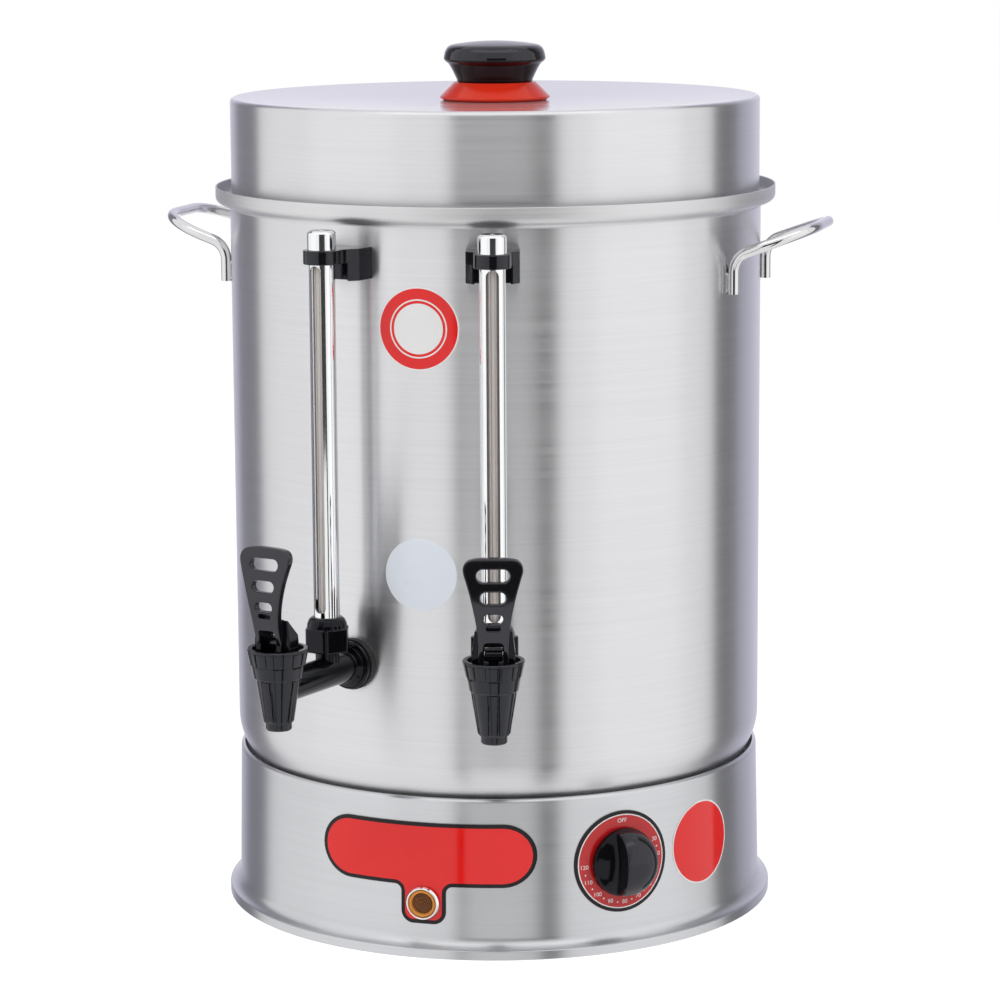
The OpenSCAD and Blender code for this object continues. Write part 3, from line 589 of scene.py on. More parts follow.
class Desk:
    """Lays out the nodes of one material or group."""

    # Colour sockets of a Mix node, which share their names with its other kinds
    MIX_LOW, MIX_HIGH, MIX_RESULT = 6, 7, 2

    def __init__(self, tree: bpy.types.NodeTree) -> None:
        """Starts on a node tree."""
        self.tree = tree

    def node(self, kind: str, inputs: dict[str | int, object] | None = None, **settings: object) -> bpy.types.Node:
        """Adds a node.

        Args:
            kind: Blender's node type.
            inputs: Values or sockets for its inputs, by name or number.
            **settings: Properties of the node.

        Returns:
            The new node.
        """
        made = self.tree.nodes.new(kind)
        for key, value in settings.items():
            setattr(made, key, value)
        for key, value in (inputs or {}).items():
            if isinstance(value, bpy.types.NodeSocket):
                self.tree.links.new(value, made.inputs[key])
            else:
                made.inputs[key].default_value = value
        return made

    def math(self, operation: str, a: object, b: object = 0.0) -> bpy.types.NodeSocket:
        """Adds a Math node and returns its value."""
        return self.node("ShaderNodeMath", {0: a, 1: b}, operation=operation).outputs["Value"]

    def between(self, amount: bpy.types.NodeSocket, low: float, high: float) -> bpy.types.NodeSocket:
        """Spreads a value from 0 to 1 over a range."""
        return self.node("ShaderNodeMapRange", {"Value": amount, "To Min": low, "To Max": high}).outputs["Result"]

    def spread(self, amount: bpy.types.NodeSocket, low: float, high: float) -> bpy.types.NodeSocket:
        """Stretches a range of a value over 0 to 1."""
        return self.node("ShaderNodeMapRange", {"Value": amount, "From Min": low, "From Max": high}).outputs["Result"]

    def noise(self, vector: bpy.types.NodeSocket, scale: float, detail: float, **more: float) -> bpy.types.NodeSocket:
        """Adds a Noise Texture node and returns its value."""
        inputs = {"Vector": vector, "Scale": scale, "Detail": detail, **more}
        return self.node("ShaderNodeTexNoise", inputs).outputs["Fac"]

    def tint(self, amount: bpy.types.NodeSocket, low: Colour, high: Colour) -> bpy.types.NodeSocket:
        """Mixes two colours by a value.

        Args:
            amount: The value, from 0 to 1.
            low: Colour at 0.
            high: Colour at 1.

        Returns:
            The mixed colour.
        """
        colours = {self.MIX_LOW: (*low, 1.0), self.MIX_HIGH: (*high, 1.0)}
        mix = self.node("ShaderNodeMix", {"Factor": amount, **colours}, data_type="RGBA")
        return mix.outputs[self.MIX_RESULT]

    @classmethod
    def blank(cls, name: str) -> tuple[bpy.types.Material, "Desk"]:
        """Makes a material with no nodes.

        Args:
            name: Name of the material.

        Returns:
            The material and its desk.
        """
        made = bpy.data.materials.new(name)
        made.use_nodes = True
        made.node_tree.nodes.clear()
        return made, cls(made.node_tree)


class Effects:
    """Shared node groups. Each puts out values that vary over the surface."""

    # Waves of the scratches along the brushing and across it, and their share
    SCRATCHES = ((7.0, 1100.0, 0.55), (4.0, 300.0, 0.45))
    SCRATCH_RANGE = (0.32, 0.68)
    CLOUDS = 9.0
    GRAIN = 1400.0
    SMUDGES = 60.0

    @staticmethod
    def _start(name: str, outputs: Sequence[str]) -> tuple[Desk, bpy.types.Node, bpy.types.NodeSocket]:
        """Starts a group with value outputs.

        Args:
            name: Name of the group.
            outputs: Names of its outputs.

        Returns:
            The group's desk, its output node and the object coordinates.
        """
        tree = bpy.data.node_groups.new(name, "ShaderNodeTree")
        for label in outputs:
            tree.interface.new_socket(name=label, in_out="OUTPUT", socket_type="NodeSocketFloat")
        desk = Desk(tree)
        return desk, tree.nodes.new("NodeGroupOutput"), desk.node("ShaderNodeTexCoord").outputs["Object"]

    @staticmethod
    def _end(desk: Desk, result: bpy.types.Node, values: dict[str, bpy.types.NodeSocket]) -> bpy.types.NodeTree:
        """Links a group's outputs.

        Args:
            desk: The group's desk.
            result: Its output node.
            values: What each output gives.

        Returns:
            The group.
        """
        for label, value in values.items():
            desk.tree.links.new(value, result.inputs[label])
        return desk.tree

    @classmethod
    def brushing(cls) -> bpy.types.NodeTree:
        """Fine scratches that run round the urn's axis, and the faint clouds of handling.

        Returns:
            The group, made at its first use.
        """
        if "brushing" in bpy.data.node_groups:
            return bpy.data.node_groups["brushing"]
        desk, result, place = cls._start("brushing", ("Streak", "Cloud", "Height"))
        parts = desk.node("ShaderNodeSeparateXYZ", {0: place}).outputs
        flat = desk.node("ShaderNodeCombineXYZ", {"X": parts["X"], "Y": parts["Y"]}).outputs["Vector"]
        reach = desk.node("ShaderNodeVectorMath", {0: flat}, operation="LENGTH").outputs["Value"]
        across = desk.math("ADD", parts["Z"], reach)
        waves = []
        for along, fine, share in cls.SCRATCHES:
            x = desk.math("MULTIPLY", parts["X"], along)
            y = desk.math("MULTIPLY", parts["Y"], along)
            z = desk.math("MULTIPLY", across, fine)
            vector = desk.node("ShaderNodeCombineXYZ", {"X": x, "Y": y, "Z": z}).outputs["Vector"]
            waves.append(desk.math("MULTIPLY", desk.noise(vector, 1.0, 3.0, Roughness=0.6), share))
        both = desk.math("ADD", *waves)
        streak = desk.spread(both, *cls.SCRATCH_RANGE)
        cloud = desk.noise(place, cls.CLOUDS, 2.0)
        return cls._end(desk, result, {"Streak": streak, "Cloud": cloud, "Height": both})

    @classmethod
    def moulding(cls) -> bpy.types.NodeTree:
        """Grain of moulded plastic or print, and soft smudges from fingers.

        Returns:
            The group, made at its first use.
        """
        if "moulding" in bpy.data.node_groups:
            return bpy.data.node_groups["moulding"]
        desk, result, place = cls._start("moulding", ("Grain", "Smudge"))
        grain = desk.noise(place, cls.GRAIN, 2.0)
        smudge = desk.noise(place, cls.SMUDGES, 3.0, Distortion=0.6)
        return cls._end(desk, result, {"Grain": grain, "Smudge": smudge})


@dataclass(frozen=True)
class Finish:
    """One finish of the urn: a name, the record's slot and a procedural material."""

    name: str
    slot: Slot
    dark: Colour
    light: Colour
    smooth: float
    rough: float

    def material(self) -> bpy.types.Material:
        """Makes this finish's material at its first use.

        Returns:
            The material.
        """
        if self.name in bpy.data.materials:
            return bpy.data.materials[self.name]
        made = bpy.data.materials.new(self.name)
        made.use_nodes = True
        self.lay(Desk(made.node_tree), made.node_tree.nodes["Principled BSDF"])
        return made

    def lay(self, desk: Desk, shader: bpy.types.Node) -> None:
        """Lays out the material's nodes.

        Args:
            desk: The material's node desk.
            shader: Its main shader.
        """
        raise NotImplementedError

    def dress(
        self, desk: Desk, shader: bpy.types.Node, shade: bpy.types.NodeSocket, rough: bpy.types.NodeSocket
    ) -> None:
        """Links the colour, mixed by a shade, and the roughness."""
        desk.tree.links.new(desk.tint(shade, self.dark, self.light), shader.inputs["Base Color"])
        desk.tree.links.new(rough, shader.inputs["Roughness"])

    @staticmethod
    def relief(
        desk: Desk, shader: bpy.types.Node, height: bpy.types.NodeSocket, strength: float, depth: float
    ) -> None:
        """Adds fine relief to a shader's normal."""
        bump = desk.node("ShaderNodeBump", {"Height": height, "Strength": strength, "Distance": depth})
        desk.tree.links.new(bump.outputs["Normal"], shader.inputs["Normal"])


@dataclass(frozen=True)
class BrushedMetal(Finish):
    """Sheet metal with fine scratches round the urn's axis."""

    anisotropy: float = 0.8
    uv: str = TURNING
    metal: float = 1.0
    across: float = 0.25
    wear: tuple[float, float] = (-0.02, 0.03)
    relief_strength: float = 0.05
    relief_depth: float = 0.0002

    def lay(self, desk: Desk, shader: bpy.types.Node) -> None:
        """Lays streaks into the colour and roughness, and stretches highlights across them.

        Args:
            desk: The material's node desk.
            shader: Its main shader.
        """
        effect = desk.node("ShaderNodeGroup", node_tree=Effects.brushing()).outputs
        shader.inputs["Metallic"].default_value = self.metal
        shader.inputs["Anisotropic"].default_value = self.anisotropy
        shader.inputs["Anisotropic Rotation"].default_value = self.across
        if self.uv:
            tangent = desk.node("ShaderNodeTangent", direction_type="UV_MAP", uv_map=self.uv)
        else:
            tangent = desk.node("ShaderNodeTangent", direction_type="RADIAL", axis="Z")
        desk.tree.links.new(tangent.outputs["Tangent"], shader.inputs["Tangent"])
        streak = desk.between(effect["Streak"], self.smooth, self.rough)
        worn = desk.math("ADD", streak, desk.between(effect["Cloud"], *self.wear))
        self.dress(desk, shader, effect["Streak"], worn)
        self.relief(desk, shader, effect["Height"], self.relief_strength, self.relief_depth)


@dataclass(frozen=True)
class BrightMetal(Finish):
    """Polished or plated metal with faint smudges."""

    def lay(self, desk: Desk, shader: bpy.types.Node) -> None:
        """Lays smudges into the roughness and a trace of tint into the colour.

        Args:
            desk: The material's node desk.
            shader: Its main shader.
        """
        smudge = desk.node("ShaderNodeGroup", node_tree=Effects.moulding()).outputs["Smudge"]
        shader.inputs["Metallic"].default_value = 1.0
        self.dress(desk, shader, smudge, desk.between(smudge, self.smooth, self.rough))


@dataclass(frozen=True)
class Moulded(Finish):
    """Moulded plastic or rubber with a fine grain."""

    relief_depth: float = 0.00006
    relief_strength: float = 0.12
    sheen: Colour = (1.0, 1.0, 1.0)
    ior: float = 1.5
    smudges: float = 0.7

    def lay(self, desk: Desk, shader: bpy.types.Node) -> None:
        """Lays grain into the normal and smudges into colour and roughness.

        Args:
            desk: The material's node desk.
            shader: Its main shader.
        """
        effect = desk.node("ShaderNodeGroup", node_tree=Effects.moulding()).outputs
        shader.inputs["IOR"].default_value = self.ior
        shader.inputs["Specular Tint"].default_value = (*self.sheen, 1.0)
        smudge = desk.math("MULTIPLY", effect["Smudge"], self.smudges)
        grain = desk.math("MULTIPLY", effect["Grain"], 1 - self.smudges)
        rough = desk.between(effect["Smudge"], self.smooth, self.rough)
        self.dress(desk, shader, desk.math("ADD", smudge, grain), rough)
        self.relief(desk, shader, effect["Grain"], self.relief_strength, self.relief_depth)


@dataclass(frozen=True)
class Glossy(Moulded):
    """Moulded plastic with a smooth skin."""

    relief_depth: float = 0.00002
    relief_strength: float = 0.06


@dataclass(frozen=True)
class Ink(Moulded):
    """Colour that is printed or stuck on."""

    relief_depth: float = 0.00001
    relief_strength: float = 0.04


@dataclass(frozen=True)
class Clear(Finish):
    """Glass or tinted lens, with light and dark bands round a tube that are painted reflections."""

    transmission: float = 1.0
    ior: float = 1.47
    lines: float = 0.0
    line_range: tuple[float, float] = (0.32, 0.62)

    def lay(self, desk: Desk, shader: bpy.types.Node) -> None:
        """Lays smudges into a clear body's roughness, and into its tint either smudges or bands of painted reflection
        round a tube.

        Args:
            desk: The material's node desk.
            shader: Its main shader.
        """
        smudge = desk.node("ShaderNodeGroup", node_tree=Effects.moulding()).outputs["Smudge"]
        shader.inputs["Transmission Weight"].default_value = self.transmission
        shader.inputs["IOR"].default_value = self.ior
        shade = smudge
        # Light and dark bands round the tube stand in for its reflections: painted reflections
        if self.lines:
            place = desk.node("ShaderNodeUVMap", uv_map=TURNING).outputs["UV"]
            around = desk.node("ShaderNodeSeparateXYZ", {"Vector": place}).outputs["X"]
            waves = {"W": desk.math("MULTIPLY", around, self.lines), "Scale": 1.0, "Detail": 1.0}
            drawn = desk.node("ShaderNodeTexNoise", waves, noise_dimensions="1D").outputs["Fac"]
            shade = desk.spread(drawn, *self.line_range)
        self.dress(desk, shader, shade, desk.between(smudge, self.smooth, self.rough))


STEEL = BrushedMetal(
    "urn_brushed_steel", Slot.STEEL, (0.675, 0.675, 0.69), (0.735, 0.735, 0.75), 0.28, 0.34, anisotropy=0.88
)
# The base's steel is a darker copy of the tank's steel: painted shade
SHADED_BASE_STEEL = BrushedMetal(
    "base_steel_painted_shade", Slot.STEEL, (0.59, 0.596, 0.614), (0.645, 0.651, 0.67), 0.28, 0.34, anisotropy=0.88
)
LID_TOP = BrushedMetal(
    "lid_top_steel", Slot.STEEL, (0.64, 0.635, 0.66), (0.7, 0.695, 0.72), 0.09, 0.14, anisotropy=0.3, metal=0.6
)
RIM_STEEL = BrushedMetal("rim_steel", Slot.STEEL, (0.66, 0.66, 0.67), (0.72, 0.72, 0.73), 0.42, 0.5, anisotropy=0.3)
PLAIN_STEEL = BrushedMetal(
    "plain_steel_sheet", Slot.STEEL, (0.6, 0.605, 0.615), (0.72, 0.725, 0.735), 0.28, 0.38, anisotropy=0.5, uv=""
)
CHROME = BrightMetal("bright_plating", Slot.BRIGHT, (0.84, 0.845, 0.86), (0.9, 0.905, 0.915), 0.04, 0.09)
ROD_STEEL = BrightMetal("polished_rod", Slot.BRIGHT, (0.68, 0.675, 0.685), (0.75, 0.745, 0.755), 0.04, 0.08)
BRASS = BrightMetal("turned_brass", Slot.BRASS, (0.6, 0.42, 0.17), (0.72, 0.54, 0.25), 0.22, 0.34)
BLACK = Glossy(
    "black_moulding", Slot.BLACK, (0.003, 0.003, 0.0036), (0.006, 0.006, 0.0072), 0.08, 0.14,
    sheen=(0.86, 0.88, 1.0), ior=1.52,
)
# Copy of the black moulding with a stronger reflection, so that the levers read lighter: painted sheen
LIT_LEVER_BLACK = Glossy(
    "lever_black_painted_sheen", Slot.BLACK, (0.003, 0.003, 0.0036), (0.006, 0.006, 0.0072), 0.08, 0.14,
    sheen=(0.88, 0.88, 1.0), ior=1.64,
)
# Copy of the black moulding with a darker colour and its reflection turned down: painted shade on the gland nuts, tap
# arms, lever cheeks and the dial knob's skirt
SHADED_BLACK = Glossy(
    "black_moulding_painted_shade", Slot.BLACK, (0.002, 0.002, 0.0024), (0.0045, 0.0045, 0.0054), 0.06, 0.11,
    relief_strength=0.05, sheen=(0.4, 0.41, 0.5),
)
KNOB_BLACK = Glossy(
    "black_knob", Slot.BLACK, (0.003, 0.003, 0.0034), (0.006, 0.006, 0.0068), 0.05, 0.1,
    relief_strength=0.05, sheen=(0.88, 0.88, 1.0), ior=1.56,
)
# Darker copy of the knob's black with a red-tinted reflection, for the neck under the cap: painted shade, with a
# painted reflection of the red foot
KNOB_NECK_SHADE = Glossy(
    "black_knob_neck", Slot.BLACK, (0.003, 0.002, 0.002), (0.006, 0.004, 0.0042), 0.09, 0.15, sheen=(0.42, 0.2, 0.23)
)
RED_PLASTIC = Glossy(
    "red_moulding", Slot.RED_PLASTIC, (0.57, 0.019, 0.006), (0.66, 0.026, 0.009), 0.14, 0.22, sheen=(1.0, 0.62, 0.5)
)
# The dial's red is a darker copy of the red print: painted shade
SHADED_DIAL_RED = Ink("dial_red_print_painted_shade", Slot.RED_ENAMEL, (0.5, 0.01, 0.012), (0.56, 0.014, 0.017), 0.1, 0.15)
RED_PRINT = Ink("red_print", Slot.RED_ENAMEL, (0.74, 0.006, 0.005), (0.81, 0.01, 0.008), 0.08, 0.12)
BLACK_PRINT = Ink(
    "black_print", Slot.RED_ENAMEL, (0.005, 0.0045, 0.005), (0.009, 0.008, 0.0085), 0.16, 0.24, sheen=(0.62, 0.56, 0.6)
)
WHITE_PRINT = Ink("white_print", Slot.RED_ENAMEL, (0.8, 0.79, 0.79), (0.85, 0.84, 0.84), 0.25, 0.33)
PALE_PRINT = Ink("pale_print", Slot.PALE, (0.78, 0.83, 0.9), (0.83, 0.88, 0.95), 0.25, 0.33)
PALE = Moulded("pale_moulding", Slot.PALE, (0.7, 0.69, 0.66), (0.78, 0.77, 0.74), 0.35, 0.48)
RUBBER = Moulded("soft_rubber", Slot.RUBBER, (0.012, 0.012, 0.013), (0.022, 0.022, 0.023), 0.5, 0.66, 0.0001, 0.25)
# The gauge glass carries light and dark bands round the tube: painted reflections
GLASS = Clear(
    "sight_glass_tube", Slot.GLASS, (0.3, 0.24, 0.215), (0.78, 0.73, 0.7), 0.05, 0.1, transmission=0.35, lines=26.0
)
AMBER = Clear(
    "amber_lens_rim", Slot.AMBER, (0.85, 0.3, 0.03), (0.95, 0.4, 0.06), 0.08, 0.14, transmission=0.3, ior=1.49
)
DEEP_AMBER = Clear(
    "amber_lens_core", Slot.AMBER, (0.16, 0.045, 0.006), (0.3, 0.1, 0.015), 0.1, 0.18, transmission=0.3, ior=1.49
)


def fit(obj: bpy.types.Object, finish: Finish, body: Body, *nodes: str) -> bpy.types.Object:
    """Dresses a finished piece and puts it on the frame.

    Args:
        obj: The piece.
        finish: Its finish.
        body: The CAD body that it rides on.
        *nodes: CAD nodes that it stands for.

    Returns:
        The piece.
    """
    obj.data.materials.clear()
    obj.data.materials.append(finish.material())
    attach(obj, body.value)
    if nodes:
        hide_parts(*nodes)
    LOG.info("%s: %d faces, %s, on %s", obj.name, len(obj.data.polygons), finish.name, body.value)
    return obj


def second(obj: bpy.types.Object, finish: Finish, where: Callable[[bpy.types.MeshPolygon], bool]) -> None:
    """Gives some faces of a piece a second finish.

    Args:
        obj: The piece.
        finish: The second finish.
        where: Test that tells these faces.
    """
    obj.data.materials.append(finish.material())
    for face in obj.data.polygons:
        face.material_index = int(where(face))


@dataclass(frozen=True)
class Wall:
    """Outer face of a round wall that may taper."""

    low_z: float
    low_r: float
    high_z: float
    high_r: float

    def radius(self, z: float) -> float:
        """Radius of the wall at a height."""
        return self.low_r + (self.high_r - self.low_r) * (z - self.low_z) / (self.high_z - self.low_z)

    def wrap(self, angle: float, z: float, lift: float) -> Callable[[Vector], Vector]:
        """Rule that lays a flat piece on the wall.

        Args:
            angle: Angle of the piece's centre from the front.
            z: Height of the piece's centre.
            lift: Gap between the wall and the piece's flat middle.

        Returns:
            A function from (across, up, out) to a point on the urn.
        """
        turn = Matrix.Rotation(math.radians(angle), 3, "Z")

        def rule(p: Vector) -> Vector:
            """Lays one point on the wall."""
            r = self.radius(z + p.y) + lift + p.z
            return turn @ Vector((p.x, -math.sqrt(r * r - p.x * p.x), z + p.y))

        return rule


TANK_WALL = Wall(0, 175, 500, 175)
BASE_WALL = Wall(12.9, 175.9, 102.5, 174.1)


def printed(outlines: Sequence[Sequence[Point]], rule: Callable[[Vector], Vector], thickness: float) -> Shape:
    """Thin print or plate laid on a wall.

    Args:
        outlines: The outer outline, then the holes.
        rule: How a flat point lies on the wall.
        thickness: Thickness of the layer.

    Returns:
        The bent layer.
    """
    flat = slab(outlines, thickness)
    reach = max(abs(p[0]) for p in outlines[0])
    count = max(2, int(reach / PRINT_STEP))
    sliced(flat, 0, [reach * i / count for i in range(-count + 1, count)])
    return mapped(flat, rule)


def disc(r: float, steps: int = 96) -> list[Point]:
    """Circle about the origin."""
    return arc(0, 0, r, 0, 360, steps)[:-1]


# ---- Sub-assemblies


@dataclass
class Lid:
    """Deep lid with a dished top, and its knob."""

    radius: float = 174.0
    edge_z: float = 534.7
    top_z: float = 531.5
    corner: float = 3.0
    flat: float = 70.0
    ledge_z: float = 467.0
    sheet: float = 1.0
    lip: float = 6.0
    bore: float = 3.2
    foot_r: float = 36.2
    foot_h: float = 11.97
    cap_r: float = 33.6
    cap_h: float = 26.63
    neck_h: float = 14.4
    crown_r: float = 26.4
    crown_h: float = 2.1
    flat_normal: float = 0.9

    def build(self) -> None:
        """Builds the shell, the red foot and the black cap."""
        lid = fit(piece("lid", [self.shell()]), STEEL, Body.LID, "lid_shell")
        top = (self.top_z - self.sheet / 2) * MM
        second(lid, LID_TOP, lambda face: face.normal.z > self.flat_normal and face.center.z > top)
        fit(piece("lid_knob_foot", [self.foot()]), RED_PLASTIC, Body.LID, "knob_foot")
        cap = fit(piece("lid_knob_cap", [self.cap()]), KNOB_BLACK, Body.LID, "knob_cap")
        # The neck under the cap gets painted shade and a painted red reflection of the foot
        neck = (self.top_z + self.foot_h + self.neck_h) * MM
        second(cap, KNOB_NECK_SHADE, lambda face: face.center.z < neck)

    def shell(self) -> Shape:
        """Turns the lid's sheet, with the lip that stands in the rim's trough.

        Returns:
            The shell about the urn's axis.
        """
        c, t, z = self.corner, self.sheet, self.edge_z - self.corner
        foot = self.ledge_z + t + 2
        out = self.radius + self.lip
        dish = ((self.bore, 0), (self.flat - 6, 0), (self.flat, 0.06), (self.flat + 8, 0.3))
        top = [(r, self.top_z + rise) for r, rise in dish]
        profile = (
            top
            + arc(self.radius - c, z, c, 90, 0, 14)
            + arc(self.radius + 2, foot, 2, 180, 270, 8)
            + [(out - 0.3, foot - 2), (out, foot - 2.3), (out, foot - 2.7), (out - 0.3, foot - 3)]
            + arc(self.radius + 2, foot, 3, 270, 180, 8)
            + arc(self.radius - c, z, c - t, 0, 90, 10)
            + [(r, h - t) for r, h in reversed(top)]
        )
        return turned(profile, 256)

    def foot(self) -> Shape:
        """Turns the knob's red foot.

        Returns:
            The foot, standing on the lid.
        """
        r, h = self.foot_r, self.foot_h
        corners = [
            (self.bore, 0, 0), (r - 2.6, 0, 0.5), (r, 1.6, 0.5), (r - 0.1, 2.5, 0.5),
            (r - 9.4, h - 0.2, 0.6), (r - 10, h, 0.4), (self.bore, h, 0),
        ]
        return shifted(turned(rounded(corners)), z=self.top_z)

    def cap(self) -> Shape:
        """Turns the knob's mushroom cap.

        Returns:
            The cap, standing on the foot.
        """
        r, h = self.cap_r, self.cap_h
        dome = (self.crown_r**2 + self.crown_h**2) / (2 * self.crown_h)
        edge = math.degrees(math.asin(self.crown_r / dome))
        crown = arc(0, h - dome, dome, 90 - edge, 90, 14)
        corners = [
            (24.6, 0, 0), (25.2, 2, 3), (26.6, 5, 20), (28.6, 9, 20), (30.4, 12, 6), (r - 1.0, 13.6, 1),
            (r, 15, 0.8), (r - 0.15, 16.6, 4), (r - 0.9, 19.8, 7), (r - 2.4, 22.5, 5), (r - 4.6, 23.9, 5),
            (*crown[0], 0), (0, 0, 0),
        ]
        profile = [(0, 13), (2.8, 13), (2.8, 0)] + rounded(corners, 6)[:-1] + crown[1:]
        return shifted(turned(profile), z=self.top_z + self.foot_h)


@dataclass
class Tank:
    """Water tank with a rounded bottom and a rim that forms a trough for the lid."""

    radius: float = 175.0
    floor_z: float = 80.0
    corner: float = 42.0
    sweep: float = 42.0
    lift: float = 2.6
    rim_z: float = 477.0
    rim_r: float = 184.5
    ledge_z: float = 467.0
    sheet: float = 1.0
    bend: float = 3.0
    trough: float = 4.5

    def build(self) -> None:
        """Builds the tank."""
        t, c, b, q, floor_z = self.sheet, self.corner, self.bend, self.trough, self.floor_z
        bend_z = self.ledge_z - t - b
        up_r, up_z = self.rim_r - q, self.ledge_z - t + q
        turn = (self.radius - c, floor_z + c + self.lift, c)
        under = ((120, 0), (131, 0.8), (143, 4.6), (153.6, 11))
        over = ((152.8, 12), (142.6, 5.6), (131, 1.9), (120, t), (0, t))
        profile = (
            [(0, floor_z)]
            + curved([*((r, floor_z + h) for r, h in under), arc(*turn, -self.sweep, 0, 1)[0]])[:-1]
            + arc(*turn, -self.sweep, 0, 24)
            + arc(self.radius + b, bend_z, b, 180, 90, 8)
            + arc(up_r, up_z, q, -90, 0, 10)
            + arc(self.rim_r - t / 2, self.rim_z - t / 2, t / 2, 0, 180, 8)
            + arc(up_r, up_z, q - t, 0, -90, 10)
            + arc(self.radius + b, bend_z, b + t, 90, 180, 8)
            + arc(turn[0], turn[1], c - t, 0, -self.sweep, 20)
            + [(r, floor_z + h) for r, h in over]
        )
        tank = fit(piece("water_tank", [turned(profile, 256)]), STEEL, Body.URN, "tank")
        rim = (bend_z - 0.2) * MM
        second(tank, RIM_STEEL, lambda face: face.center.z > rim)


@dataclass
class Base:
    """Pedestal base with a flared foot."""

    top_r: float = 174.1
    low_r: float = 175.9
    flare_r: float = 6.6
    flare_z: float = 12.9
    foot_r: float = 183.1
    foot_h: float = 6.0
    height: float = 102.5
    hem: float = 2.5
    sheet: float = 1.0
    lip: float = 0.7
    ledge: float = 11.0

    def build(self) -> None:
        """Builds the shell with its flared foot, rolled top edge and inner ledge."""
        fx, fz, fr, t = self.low_r + self.flare_r, self.flare_z, self.flare_r, self.sheet
        hx, hz = self.top_r - self.hem, self.height - self.hem
        inner, outer = self.low_r - self.ledge, self.foot_r - 2
        profile = (
            [(self.foot_r - 0.3, 0), (self.foot_r, 0.3)]
            + arc(self.foot_r - self.lip, self.foot_h - self.lip, self.lip, 0, 90, 6)
            + arc(fx, fz, fr, 270, 180, 16)
            + arc(hx, hz, self.hem, 0, 90, 10)
            + arc(hx, hz, self.hem - t, 90, 0, 8)
            + arc(fx, fz, fr + t, 180, 245, 10)
            + [(outer, 3), (inner, 3), (inner, 2), (outer, 2), (outer, 0)]
        )
        # The base gets the darker copy of the steel, as painted shade
        fit(piece("base", [turned(profile, 256)]), SHADED_BASE_STEEL, Body.URN, "base_shell")


@dataclass
class Handles:
    """Two lifting handles, each a rod loop that slopes up from two legs on the tank wall."""

    rod_r: float = 3.5
    tank_r: float = 175.0
    leg_half: float = 49.5
    leg_z: float = 413.0
    leg_h: float = 14.0
    bend: float = 14.0
    corner: float = 34.0
    slope: float = 20.0
    reach: float = 48.0
    gap: float = 0.2
    bend_steps: int = 12
    corner_steps: int = 16

    def path(self) -> list[Vector]:
        """Lays out one handle's centre line, with the loop towards -y.

        Returns:
            The points from one leg's foot to the other's.
        """
        y0 = math.sqrt((self.tank_r + self.rod_r + self.gap) ** 2 - self.leg_half**2)
        rise = math.radians(self.slope)
        half = [Vector((self.leg_half, -y0, self.leg_z))]
        for i in range(self.bend_steps + 1):
            t = math.radians((90 - self.slope) * i / self.bend_steps)
            y = -y0 - self.bend * (1 - math.cos(t))
            z = self.leg_z + self.leg_h + self.bend * math.sin(t)
            half.append(Vector((self.leg_half, y, z)))
        start = half[-1]
        run = self.tank_r + self.reach - self.rod_r + start.y
        straight = run / math.cos(rise) - self.corner
        out = Vector((0, -math.cos(rise), math.sin(rise)))
        for i in range(self.corner_steps + 1):
            t = math.radians(90 * i / self.corner_steps)
            x = self.leg_half - self.corner + self.corner * math.cos(t)
            half.append(Vector((x, start.y, start.z)) + out * (straight + self.corner * math.sin(t)))
        return half + [Vector((-p.x, p.y, p.z)) for p in reversed(half)]

    def build(self) -> None:
        """Builds both handles with the rod tree, and the welds at their legs."""
        for name, turn in (("handle_left", -90), ("handle_right", 90)):
            rod = Trees.bake(Trees.rod(), wire(self.path()), ROD_STEEL, Radius=self.rod_r, Sides=28)
            place = upright(turn, 0, 0)
            shapes = [moved(rod, place)]
            for s in (-1, 1):
                shapes.append(moved(self.weld(), place @ Matrix.Translation((s * self.leg_half, 0, 0))))
            fit(piece("lifting_" + name, shapes), ROD_STEEL, Body.URN, name)

    def weld(self) -> Shape:
        """Turns a small bead that joins one leg to the wall.

        Returns:
            The bead on the wall, before it shifts to its leg.
        """
        y = math.sqrt(self.tank_r**2 - self.leg_half**2)
        upper = [(1.5, 4.6, 1.0), (0.8, 6.4, 0.5), (0, 6.4, 0)]
        lower = [(r, -z, edge) for r, z, edge in reversed(upper)]
        return shifted(turned(rounded(lower + upper), 16), y=-y - 0.7, z=self.leg_z + 7.2)


